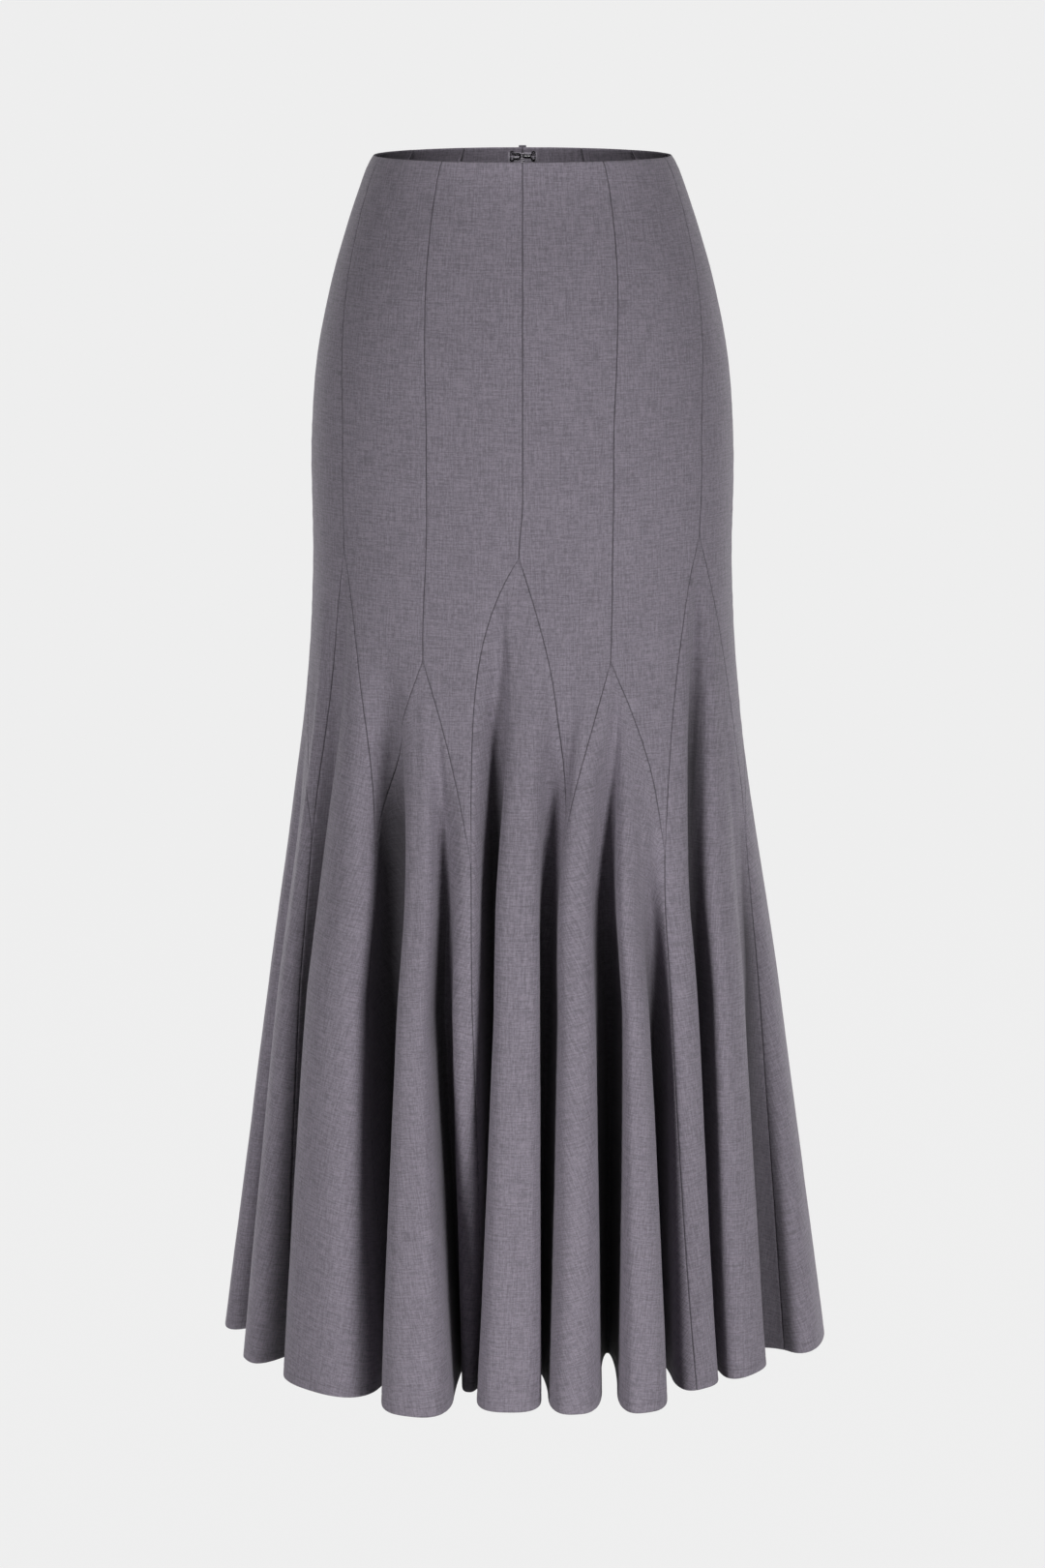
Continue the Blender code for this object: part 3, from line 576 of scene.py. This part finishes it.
def flat_map(rows, fan):
    """Flat coordinates of every point of a piece: (across, down) in metres."""
    middle = rows.shape[1] // 2
    steps = np.linalg.norm(np.diff(rows, axis=1), axis=2)
    across = np.concatenate([np.zeros((len(rows), 1)), np.cumsum(steps, axis=1)], axis=1)
    across -= across[:, middle:middle + 1]
    along = rows[:, middle + 1] - rows[:, middle - 1]
    along /= np.linalg.norm(along, axis=1)[:, None]
    stride = np.diff(rows[:, middle], axis=0)
    drift = (stride * along[:-1]).sum(axis=1)
    across += np.concatenate([[0.0], np.cumsum(drift)])[:, None]
    down = np.concatenate([[0.0], np.cumsum(np.sqrt(np.maximum((stride**2).sum(axis=1) - drift**2, 0.0)))])
    if not fan:
        return across, np.repeat(down[:, None], rows.shape[1], axis=1)
    length = down.max()
    lean = across[-1:] / length * np.ones_like(across)
    reach = down[:, None] * np.ones_like(across)
    return reach * np.sin(lean) + across * FAN_SPREAD, reach * np.cos(lean)


def sew_piece(name, rows, fan, tone, finish):
    """The piece that takes the place of a cloth solid: a grid laid on its rows, with its thickness."""
    columns = len(rows[0]) - 1
    bpy.ops.object.select_all(action="DESELECT")
    bpy.ops.mesh.primitive_grid_add(x_subdivisions=columns, y_subdivisions=len(rows) - 1, size=1.0)
    piece = bpy.context.object
    piece.name = piece.data.name = name + "_cloth"
    rows = np.array(rows)
    across, down = flat_map(rows[:, :, :3], fan)
    mesh = piece.data
    place = [(round((0.5 - v.co.y) * (len(rows) - 1)), round((v.co.x + 0.5) * columns))
             for v in mesh.vertices]
    for vertex, (i, j) in zip(mesh.vertices, place):
        vertex.co = rows[i, j, :3]
    uv = mesh.uv_layers.active or mesh.uv_layers.new(name="UVMap")
    shift = MAP_STEP * (sum(ord(c) for c in name) % MAP_PLACES)
    for loop in mesh.loops:
        i, j = place[loop.vertex_index]
        uv.data[loop.index].uv = (across[i, j] + shift, down[i, j] + shift * MAP_SLANT)
    # the light attribute: each piece's own tone, times the painted shade and highlight of its points
    painted_light_and_tone_layer = mesh.attributes.new("light", "FLOAT", "POINT")
    painted_light_and_tone_layer.data.foreach_set("value", [tone * rows[i, j, 3] for i, j in place])
    mesh.shade_smooth()
    area = sum(p.area for p in mesh.polygons)
    wall = piece.modifiers.new("cloth thickness", "SOLIDIFY")
    wall.thickness = WALL
    wall.offset = 0.0
    bpy.ops.object.modifier_apply(modifier=wall.name)
    piece.data.materials.append(finish)
    width = max(float(a.max() - a.min()) for a in across) if not fan else float(across.max() - across.min())
    length = float(down.max() - down.min())
    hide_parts(name)
    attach(piece, "skirt")
    return piece, width, length, area


def triangle_count(piece):
    return sum(len(p.vertices) - 2 for p in piece.data.polygons)


# %% [markdown]
# ## The suiting
# It is a light worsted in a warm grey: pale and dark yarns are spun together, so along both warp and
# weft run short streaks, a yarn wide. One node group makes them from the flat map, and the fine
# over-and-under of the plain weave as a height for the bump.

# %% Node helpers
def new_group(name, inputs, outputs):
    """A shader node group with named sockets."""
    group = bpy.data.node_groups.new(name, "ShaderNodeTree")
    for label, kind, value in inputs:
        socket = group.interface.new_socket(name=label, in_out="INPUT", socket_type=kind)
        if value is not None:
            socket.default_value = value
    for label, kind in outputs:
        group.interface.new_socket(name=label, in_out="OUTPUT", socket_type=kind)
    return group, group.nodes.new("NodeGroupInput"), group.nodes.new("NodeGroupOutput")


def math_node(tree, operation, a, b=None, clamp=False):
    node = tree.nodes.new("ShaderNodeMath")
    node.operation = operation
    node.use_clamp = clamp
    for socket, value in zip(node.inputs, (a, b)):
        if value is None:
            continue
        if isinstance(value, (int, float)):
            socket.default_value = value
        else:
            tree.links.new(value, socket)
    return node.outputs[0]


def mix_colour(tree, factor, a, b):
    node = tree.nodes.new("ShaderNodeMix")
    node.data_type = "RGBA"
    for socket, value in ((node.inputs[0], factor), (node.inputs[6], a), (node.inputs[7], b)):
        if isinstance(value, bpy.types.NodeSocket):
            tree.links.new(value, socket)
        else:
            socket.default_value = value
    return node.outputs[2]


def stretched_noise(tree, x, y, x_scale, y_scale, detail=1.0):
    """Noise with its grains drawn out along one thread direction."""
    combine = tree.nodes.new("ShaderNodeCombineXYZ")
    tree.links.new(math_node(tree, "MULTIPLY", x, x_scale), combine.inputs[0])
    tree.links.new(math_node(tree, "MULTIPLY", y, y_scale), combine.inputs[1])
    texture = tree.nodes.new("ShaderNodeTexNoise")
    texture.noise_dimensions = "2D"
    texture.inputs["Scale"].default_value = 1.0
    texture.inputs["Detail"].default_value = detail
    tree.links.new(combine.outputs[0], texture.inputs["Vector"])
    return texture.outputs[0]


# %% The weave group
LONG_STREAKS = (760.0, 52.0)     # grains per metre, across a thread and along it
FINE_STREAKS = (1350.0, 260.0)
CLOUDS_PER_METRE = 14.0
LONG_SHARE, FINE_SHARE = 0.48, 0.52
STREAK_CONTRAST, CLOUD_CONTRAST = 1.95, 0.22
CHECKER_HEIGHT, STREAK_HEIGHT = 0.35, 0.65

weave, weave_in, weave_out = new_group(
    "plain weave",
    [("Map", "NodeSocketVector", None), ("Pale yarn", "NodeSocketColor", (0.26, 0.235, 0.27, 1)),
     ("Dark yarn", "NodeSocketColor", (0.13, 0.115, 0.14, 1)),
     ("Yarns per metre", "NodeSocketFloat", 1900.0), ("Streakiness", "NodeSocketFloat", 1.0)],
    [("Colour", "NodeSocketColor"), ("Height", "NodeSocketFloat")],
)
split = weave.nodes.new("ShaderNodeSeparateXYZ")
weave.links.new(weave_in.outputs["Map"], split.inputs[0])
u, v = split.outputs[0], split.outputs[1]
warp_long = stretched_noise(weave, u, v, *LONG_STREAKS)
weft_long = stretched_noise(weave, u, v, *LONG_STREAKS[::-1])
warp_fine = stretched_noise(weave, u, v, *FINE_STREAKS)
weft_fine = stretched_noise(weave, u, v, *FINE_STREAKS[::-1])
cloud = stretched_noise(weave, u, v, CLOUDS_PER_METRE, CLOUDS_PER_METRE, 2.0)
long_streaks = math_node(weave, "ADD", warp_long, weft_long)
fine_streaks = math_node(weave, "ADD", warp_fine, weft_fine)
streaks = math_node(weave, "ADD", math_node(weave, "MULTIPLY", long_streaks, LONG_SHARE),
                    math_node(weave, "MULTIPLY", fine_streaks, FINE_SHARE))
centred = math_node(weave, "SUBTRACT", streaks, 1.0)
spread = math_node(weave, "MULTIPLY", math_node(weave, "MULTIPLY", centred, STREAK_CONTRAST),
                   weave_in.outputs["Streakiness"])
cloudy = math_node(weave, "MULTIPLY", math_node(weave, "SUBTRACT", cloud, 0.5), CLOUD_CONTRAST)
share = math_node(weave, "ADD", math_node(weave, "ADD", spread, cloudy), 0.5, clamp=True)
weave.links.new(mix_colour(weave, share, weave_in.outputs["Dark yarn"], weave_in.outputs["Pale yarn"]),
                weave_out.inputs["Colour"])
turns = math_node(weave, "MULTIPLY", weave_in.outputs["Yarns per metre"], math.pi)
over = math_node(weave, "SINE", math_node(weave, "MULTIPLY", u, turns))
under = math_node(weave, "SINE", math_node(weave, "MULTIPLY", v, turns))
checker = math_node(weave, "MULTIPLY", over, under)
weave.links.new(math_node(weave, "ADD", math_node(weave, "MULTIPLY", checker, CHECKER_HEIGHT),
                          math_node(weave, "MULTIPLY", share, STREAK_HEIGHT)), weave_out.inputs["Height"])
print("weave nodes", len(weave.nodes))

# %% The suiting material
def plain_material(name, colour, roughness, metallic=0.0):
    """A material with its Principled shader set to one finish, and that shader."""
    material = bpy.data.materials.new(name)
    material.use_nodes = True
    shader = material.node_tree.nodes["Principled BSDF"]
    shader.inputs["Base Color"].default_value = (*colour, 1.0)
    shader.inputs["Roughness"].default_value = roughness
    shader.inputs["Metallic"].default_value = metallic
    return material, shader


def add_relief(tree, shader, height, strength, distance):
    """Bump on a shader, from a height."""
    bump = tree.nodes.new("ShaderNodeBump")
    bump.inputs["Strength"].default_value = strength
    bump.inputs["Distance"].default_value = distance
    tree.links.new(height, bump.inputs["Height"])
    tree.links.new(bump.outputs[0], shader.inputs["Normal"])


def woven_material(name, colour, roughness, pale, dark, relief, specular):
    """A material in plain weave, its shader and its weave node."""
    material, shader = plain_material(name, colour, roughness)
    tree = material.node_tree
    flat = tree.nodes.new("ShaderNodeUVMap")
    flat.uv_map = "UVMap"
    threads = tree.nodes.new("ShaderNodeGroup")
    threads.node_tree = weave
    threads.inputs["Pale yarn"].default_value = (*pale, 1.0)
    threads.inputs["Dark yarn"].default_value = (*dark, 1.0)
    tree.links.new(flat.outputs[0], threads.inputs["Map"])
    add_relief(tree, shader, threads.outputs["Height"], relief, YARN_RELIEF)
    shader.inputs["Specular IOR Level"].default_value = specular
    return material, shader, threads


YARN_RELIEF = 0.0002
suiting, suiting_shader, threads = woven_material(
    "grey worsted suiting", (0.21, 0.19, 0.22), 0.82, (0.290, 0.259, 0.312), (0.160, 0.142, 0.174),
    0.35, 0.25)
tree = suiting.node_tree
# The light attribute darkens the weave's colour: each piece's own tone, times the painted shade of seams,
# stitches and valleys and the faint painted highlight beside the seams.
painted_light_and_tone_node = tree.nodes.new("ShaderNodeAttribute")
painted_light_and_tone_node.attribute_name = "light"
colour_with_painted_light_and_tone = mix_colour(tree, painted_light_and_tone_node.outputs["Fac"], (0.0, 0.0, 0.0, 1.0), threads.outputs["Colour"])
tree.links.new(colour_with_painted_light_and_tone, suiting_shader.inputs["Base Color"])
suiting_shader.inputs["Sheen Weight"].default_value = 0.12
suiting_shader.inputs["Sheen Roughness"].default_value = 0.6
print("suiting ready")

# %% [markdown]
# ## The gores
# Each gore runs from the waist to its point. Its top edge is turned in, without a waistband.

# %% Cut and sew the gores
GORE_COLUMNS = 20
FIRST_GORE_ROW = -0.0045    # below the rows of the waist edge
POINT_CLEARANCE = 0.0008    # from the last row to the point, which has no width
DARKEST_TONE, TONE_RANGE = 0.985, 0.03   # neighbours differ a little in shade
SHEETS = []


def gore_rows(k):
    """The rows of gore k, from the turned-in waist edge down to its point."""
    kinks = (GODETS[k].apex_z, GODETS[(k + 1) % SEAMS].apex_z)
    turned_in = [(drop, ALLOWANCE_DEPTH) for drop in WAIST_TURN]
    levels = [(-drop, inward) for drop, inward in turned_in + EDGE_PROFILE[-2::-1]]
    levels += [(z, 0.0) for z in grid_rows(FIRST_GORE_ROW, POINT_LEVEL + POINT_CLEARANCE, kinks)]
    return [lay_row(z, godet_edge(k, z, +1), godet_edge(k + 1, z, -1), GORE_COLUMNS, inward)
            for z, inward in levels]


for k, name in enumerate(GORE_NAMES):
    tone = DARKEST_TONE + TONE_RANGE * ((k * 5) % 4) / 3.0
    SHEETS.append(sew_piece(name, gore_rows(k), False, tone, suiting))
print("gores", len(SHEETS), "triangles in one", triangle_count(SHEETS[0][0]))

# %% [markdown]
# ## The godets
# Each godet starts at its tip, in the seam, and ends at the hem, which is turned up narrow.

# %% Cut and sew the godets
TIP_CLEARANCE = 0.0004      # from the tip, which has no width, to the first row
LAST_FULL_ROW = 0.0090      # above the hem
HEM_SAMPLES = 200


def godet_rows(k):
    """The rows of godet k, from its tip down to the hem's turned-up edge."""
    godet = GODETS[k]
    points = ring(HEM_LEVEL, np.linspace(join_fold(k - 1, HEM_LEVEL), join_fold(k, HEM_LEVEL), HEM_SAMPLES))
    hem_length = np.linalg.norm(np.diff(points, axis=0), axis=1).sum()
    columns = round(hem_length / COLUMN_STEP)
    full_rows = grid_rows(godet.apex_z - TIP_CLEARANCE, HEM_LEVEL + LAST_FULL_ROW, (LOW_APEX, POINT_LEVEL))
    levels = [(z, 0.0, 1.0) for z in full_rows]
    # the rows of the stitch line carry their painted shade
    levels += [(HEM_LEVEL + HEM_STITCH + lift, inward, light) for lift, inward, light in STITCH_ROWS]
    levels += [(HEM_LEVEL + lift, inward, 1.0) for lift, inward in EDGE_PROFILE]
    return [lay_row(z, godet_edge(k, z, -1), godet_edge(k, z, +1), columns, inward, light)
            for z, inward, light in levels]


for k, godet in enumerate(GODETS):
    tone = DARKEST_TONE + TONE_RANGE * ((k * 7 + 1) % 5) / 4.0
    SHEETS.append(sew_piece(godet.name, godet_rows(k), True, tone, suiting))
total = sum(triangle_count(sheet[0]) for sheet in SHEETS)
print("cloth triangles", total, "area", round(sum(sheet[3] for sheet in SHEETS), 3), "m2")

# %% [markdown]
# ## The zip
# A concealed zip is sewn to the allowances of the centre back seam. Its two woven tapes lie side by side
# on them, and between the tapes runs the coil: a nylon thread wound in turns that catch each other. One
# turn is modelled as a flattened bead, and its copies go down the seam.

# %% Tape and coil finishes
tape_finish, tape_shader, tape_threads = woven_material(
    "woven zip tape", (0.24, 0.22, 0.255), 0.85, (0.34, 0.315, 0.36), (0.20, 0.18, 0.215), 0.5, 0.3)
tape_threads.inputs["Yarns per metre"].default_value = 2400.0
tape_threads.inputs["Streakiness"].default_value = 0.7
tape_finish.node_tree.links.new(tape_threads.outputs["Colour"], tape_shader.inputs["Base Color"])
print("tape finish ready")

# %% The specks group
specks, specks_in, specks_out = new_group(
    "specks and wear",
    [("Place", "NodeSocketVector", None), ("Colour", "NodeSocketColor", (0.2, 0.2, 0.2, 1)),
     ("Worn colour", "NodeSocketColor", (0.5, 0.5, 0.5, 1)), ("Specks per metre", "NodeSocketFloat", 900.0),
     ("Wear", "NodeSocketFloat", 0.3)],
    [("Colour", "NodeSocketColor"), ("Worn", "NodeSocketFloat"), ("Height", "NodeSocketFloat")],
)
grain = specks.nodes.new("ShaderNodeTexNoise")
specks.links.new(specks_in.outputs["Place"], grain.inputs["Vector"])
specks.links.new(specks_in.outputs["Specks per metre"], grain.inputs["Scale"])
grain.inputs["Detail"].default_value = 3.0
limit = math_node(specks, "SUBTRACT", 0.74, math_node(specks, "MULTIPLY", specks_in.outputs["Wear"], 0.2))
excess = math_node(specks, "SUBTRACT", grain.outputs[0], limit)
over_limit = math_node(specks, "MULTIPLY", excess, 14.0, clamp=True)
shift = math_node(specks, "ADD", math_node(specks, "MULTIPLY", grain.outputs[0], 0.3), 0.85)
shaded = specks.nodes.new("ShaderNodeVectorMath")
shaded.operation = "SCALE"
specks.links.new(specks_in.outputs["Colour"], shaded.inputs[0])
specks.links.new(shift, shaded.inputs["Scale"])
specks.links.new(mix_colour(specks, over_limit, shaded.outputs[0], specks_in.outputs["Worn colour"]),
                 specks_out.inputs["Colour"])
specks.links.new(over_limit, specks_out.inputs["Worn"])
specks.links.new(grain.outputs[0], specks_out.inputs["Height"])


def specked_material(name, colour, worn, roughness, metallic, per_metre, wear):
    """A painted or moulded finish: specks in its colour, wear where the specks are strongest."""
    material, shader = plain_material(name, colour, roughness, metallic)
    nodes = material.node_tree
    place = nodes.nodes.new("ShaderNodeTexCoord")
    group = nodes.nodes.new("ShaderNodeGroup")
    group.node_tree = specks
    for label, value in (("Colour", (*colour, 1.0)), ("Worn colour", (*worn, 1.0)),
                         ("Specks per metre", per_metre), ("Wear", wear)):
        group.inputs[label].default_value = value
    nodes.links.new(place.outputs["Object"], group.inputs["Place"])
    nodes.links.new(group.outputs["Colour"], shader.inputs["Base Color"])
    polish = math_node(nodes, "MULTIPLY", group.outputs["Worn"], WORN_POLISH)
    rough = math_node(nodes, "SUBTRACT", roughness, polish)
    nodes.links.new(rough, shader.inputs["Roughness"])
    add_relief(nodes, shader, group.outputs["Height"], 0.25, SPECK_RELIEF)
    return material


SPECK_RELIEF = 0.00005
WORN_POLISH = 0.12   # worn specks are this much smoother
coil_finish = specked_material(
    "nylon coil", (0.36, 0.335, 0.375), (0.42, 0.40, 0.43), 0.42, 0.0, 1500.0, 0.3)
thread_finish = specked_material(
    "sewing thread", (0.20, 0.18, 0.215), (0.28, 0.26, 0.29), 0.75, 0.0, 2600.0, 0.4)
metal_finish = specked_material(
    "painted zip metal", (0.17, 0.155, 0.18), (0.40, 0.39, 0.41), 0.40, 0.35, 700.0, 0.55)
wire_finish = specked_material(
    "black lacquered wire", (0.012, 0.012, 0.013), (0.05, 0.048, 0.05), 0.28, 0.2, 1200.0, 0.3)
print("finishes of the closure ready")

# %% The tapes
TAPE_TOP = -0.0035
TAPE_FOOT = -0.2000
TAPE_EDGE = 0.0006
TAPE_OUTER = 0.0120
TAPE_INSET = 0.0017        # from the middle of the cloth to the middle of the tape
TAPE_MIDDLE = 0.0060
TAPE_SELVEDGE = 0.0012     # the thicker woven border on both edges,
SELVEDGE_SLOPE = 1.3       # with its slope, as a share of it,
SELVEDGE_DROP = -0.00012   # and how far it lies further in


def tape_row(z, side):
    """One row of a tape, from left to right as seen from outside, with its two thicker borders."""
    seam = godet_edge(BACK_SEAM, z, 0)
    rate = folds_per_metre(z, seam, side)
    border, slope = TAPE_SELVEDGE, TAPE_SELVEDGE * SELVEDGE_SLOPE
    steps = (TAPE_EDGE, TAPE_EDGE + border, TAPE_EDGE + slope, TAPE_MIDDLE,
             TAPE_OUTER - slope, TAPE_OUTER - border, TAPE_OUTER)
    lifts = (SELVEDGE_DROP, SELVEDGE_DROP, 0.0, 0.0, 0.0, SELVEDGE_DROP, SELVEDGE_DROP)
    folds = np.array([seam + side * s * rate for s in steps])
    points, normals, _ = cloth_frame(z, folds)
    points = points - normals * (TAPE_INSET - np.array(lifts))[:, None]
    row = np.column_stack([points, np.ones(len(points))])
    return row if side > 0 else row[::-1]


for name, side in (("zip_tape_right", -1), ("zip_tape_left", +1)):
    rows = [tape_row(z, side) for z in grid_rows(TAPE_TOP, TAPE_FOOT)]
    SHEETS.append(sew_piece(name, rows, False, 1.0, tape_finish))
print("tapes", len(SHEETS) - len(GORE_NAMES) - len(GODETS))

# %% The coil
COIL_PITCH = 0.0014
COIL_TURN = (0.0021, 0.00030, 0.00050)   # half sizes of one turn: across, outwards, along the seam
COIL_INSET = TAPE_INSET + 0.00055
COIL_LEAN = 0.10           # radians, to one side and the other in turn


def join_pieces(pieces, kept, name):
    """Join pieces into one of them, which rides on the skirt."""
    for piece in pieces:
        piece.select_set(True)
    bpy.context.view_layer.objects.active = kept
    bpy.ops.object.join()
    kept.name = name
    bpy.ops.object.transform_apply(location=True, rotation=True, scale=True)
    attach(kept, "skirt")


bpy.ops.object.select_all(action="DESELECT")
bpy.ops.mesh.primitive_uv_sphere_add(segments=8, ring_count=5, radius=1.0)
coil = bpy.context.object
bpy.ops.object.mode_set(mode="EDIT")
bpy.ops.mesh.select_all(action="SELECT")
bpy.ops.transform.resize(value=COIL_TURN)
bpy.ops.object.mode_set(mode="OBJECT")
coil.data.shade_smooth()
coil.data.materials.append(coil_finish)
turns_of_coil = [coil]
for i in range(int((TAPE_TOP - TAPE_FOOT) / COIL_PITCH)):
    turn = coil if i == 0 else bpy.data.objects.new("coil_turn", coil.data.copy())
    z = TAPE_TOP - (i + 0.5) * COIL_PITCH
    points, normals, _ = cloth_frame(z, np.array([godet_edge(BACK_SEAM, z, 0)]))
    turn.location = points[0] - normals[0] * COIL_INSET
    turn.rotation_euler = (0.0, 0.0, COIL_LEAN if i % 2 else -COIL_LEAN)
    if i:
        bpy.context.scene.collection.objects.link(turn)
        turns_of_coil.append(turn)
join_pieces(turns_of_coil, coil, "zip_coil")
print("turns of the coil", len(turns_of_coil), "triangles", triangle_count(coil))

# %% [markdown]
# ## Slider, pull, hook and eye
# Their solids have the right shapes, so they stay, with finer finishes: satin paint in the cloth's
# colour, a little worn, and black lacquer. The hook and the eye are sewn on with loops of thread
# through their feet, each loop a thin ring.

# %% Finishes on the hard pieces
for name, finish in (("zip_slider", metal_finish), ("zip_pull", metal_finish), ("hook", wire_finish),
                     ("eye", wire_finish)):
    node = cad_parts[name]
    node.data.materials.clear()
    node.data.materials.append(finish)

# %% Stitches through the feet of the hook and the eye
FEET = ((0.0089, 0.0022), (0.0089, -0.0022), (-0.0085, 0.0024), (-0.0085, -0.0024))   # x, and height
FEET_LEVEL = -0.0065
STITCH_INSET = 0.0028      # from the middle of the cloth at the centre back
STITCH_RADIUS, THREAD_RADIUS = 0.0011, 0.00017
STITCH_LEANS = (-0.5, 0.0, 0.5)
STITCH_STEP = 0.0009

bpy.ops.object.select_all(action="DESELECT")
stitches = []
for foot_x, foot_up in FEET:
    for lean in STITCH_LEANS:
        z = FEET_LEVEL + foot_up
        place = (foot_x + lean * STITCH_STEP, smooth_column("back_reach", z) - STITCH_INSET, z)
        bpy.ops.mesh.primitive_torus_add(
            major_radius=STITCH_RADIUS, minor_radius=THREAD_RADIUS, major_segments=12, minor_segments=5,
            location=place, rotation=(0.0, math.radians(90.0), lean))
        loop = bpy.context.object
        loop.data.shade_smooth()
        loop.data.materials.append(thread_finish)
        stitches.append(loop)
join_pieces(stitches, stitches[-1], "hook_and_eye_stitches")
print("stitches", len(stitches))

# %% [markdown]
# ## The cut
# Every piece of cloth has its flat size printed, as it was cut, seam allowances included.

for piece, width, length, area in SHEETS:
    print("sheet %-30s %4.0f x %4.0f mm, %6.0f cm2" % (piece.name, width * 1000, length * 1000, area * 1e4))

# %% [markdown]
# ## The stage
# A plain pale floor with a pale wall all round, and soft light: a large softbox on each side of the
# camera, the right one a little stronger, two weaker ones behind for the sides and the back, and a
# small lamp that reaches over the front edge into the waist. Little of it gets into the valleys.

# %% Floor and lights
FLOOR_LEVEL = -1.30
FLOOR_RADIUS = 14.0
WALL_HEIGHT = 22.0
BACKDROP = (0.855, 0.855, 0.855, 1.0)
SOFTBOX_SIZE = 1.3
FRONT_AIM, BACK_AIM = (0.0, 0.0, -1.05), (0.0, 0.0, -0.9)
AIR_LIGHT = 0.012

bpy.ops.object.select_all(action="DESELECT")
bpy.ops.mesh.primitive_circle_add(vertices=48, radius=FLOOR_RADIUS, fill_type="NGON",
                                  location=(0.0, 0.0, FLOOR_LEVEL))
floor = bpy.context.object
floor.name = "studio_floor"
bpy.ops.object.mode_set(mode="EDIT")
bpy.ops.mesh.select_all(action="SELECT")
bpy.ops.mesh.select_mode(type="EDGE")
bpy.ops.mesh.region_to_loop()
bpy.ops.mesh.extrude_region_move(TRANSFORM_OT_translate={"value": (0.0, 0.0, WALL_HEIGHT)})
bpy.ops.object.mode_set(mode="OBJECT")
bpy.ops.object.transform_apply(location=True, rotation=False, scale=False)
floor_finish, floor_shader = plain_material("pale floor", (0.02, 0.02, 0.02), 1.0)
floor_shader.inputs["Specular IOR Level"].default_value = 0.0
floor_shader.inputs["Emission Color"].default_value = BACKDROP
floor_shader.inputs["Emission Strength"].default_value = 1.0
floor.data.materials.append(floor_finish)
floor.visible_diffuse = False
floor.visible_shadow = False


def soft_lamp(name, place, aim, size, power, spread=80.0):
    lamp_data = bpy.data.lights.new(name, "AREA")
    lamp_data.size = size
    lamp_data.energy = power
    lamp_data.spread = math.radians(spread)
    lamp_data.shape = "SQUARE"
    lamp = bpy.data.objects.new(name, lamp_data)
    bpy.context.scene.collection.objects.link(lamp)
    lamp.location = place
    lamp.rotation_euler = (Vector(aim) - Vector(place)).to_track_quat("-Z", "Y").to_euler()


soft_lamp("right_softbox", (2.95, -3.3, -0.7), FRONT_AIM, SOFTBOX_SIZE, 26.0)
soft_lamp("left_softbox", (-2.95, -3.3, -0.7), FRONT_AIM, SOFTBOX_SIZE, 19.5)
soft_lamp("back_right_softbox", (2.6, 3.4, -0.6), BACK_AIM, SOFTBOX_SIZE, 11.0)
soft_lamp("back_left_softbox", (-2.6, 3.4, -0.6), BACK_AIM, SOFTBOX_SIZE, 11.0)
soft_lamp("waist_lamp", (0.0, -0.525, 0.520), (0.0, 0.088, -0.002), 0.05, 0.085, 24.0)
world = bpy.data.worlds.new("studio_air")
bpy.context.scene.world = world
world.use_nodes = True
world.node_tree.nodes["Background"].inputs[0].default_value = (1.0, 1.0, 1.0, 1.0)
world.node_tree.nodes["Background"].inputs[1].default_value = AIR_LIGHT
bpy.context.scene.view_settings.view_transform = "Standard"
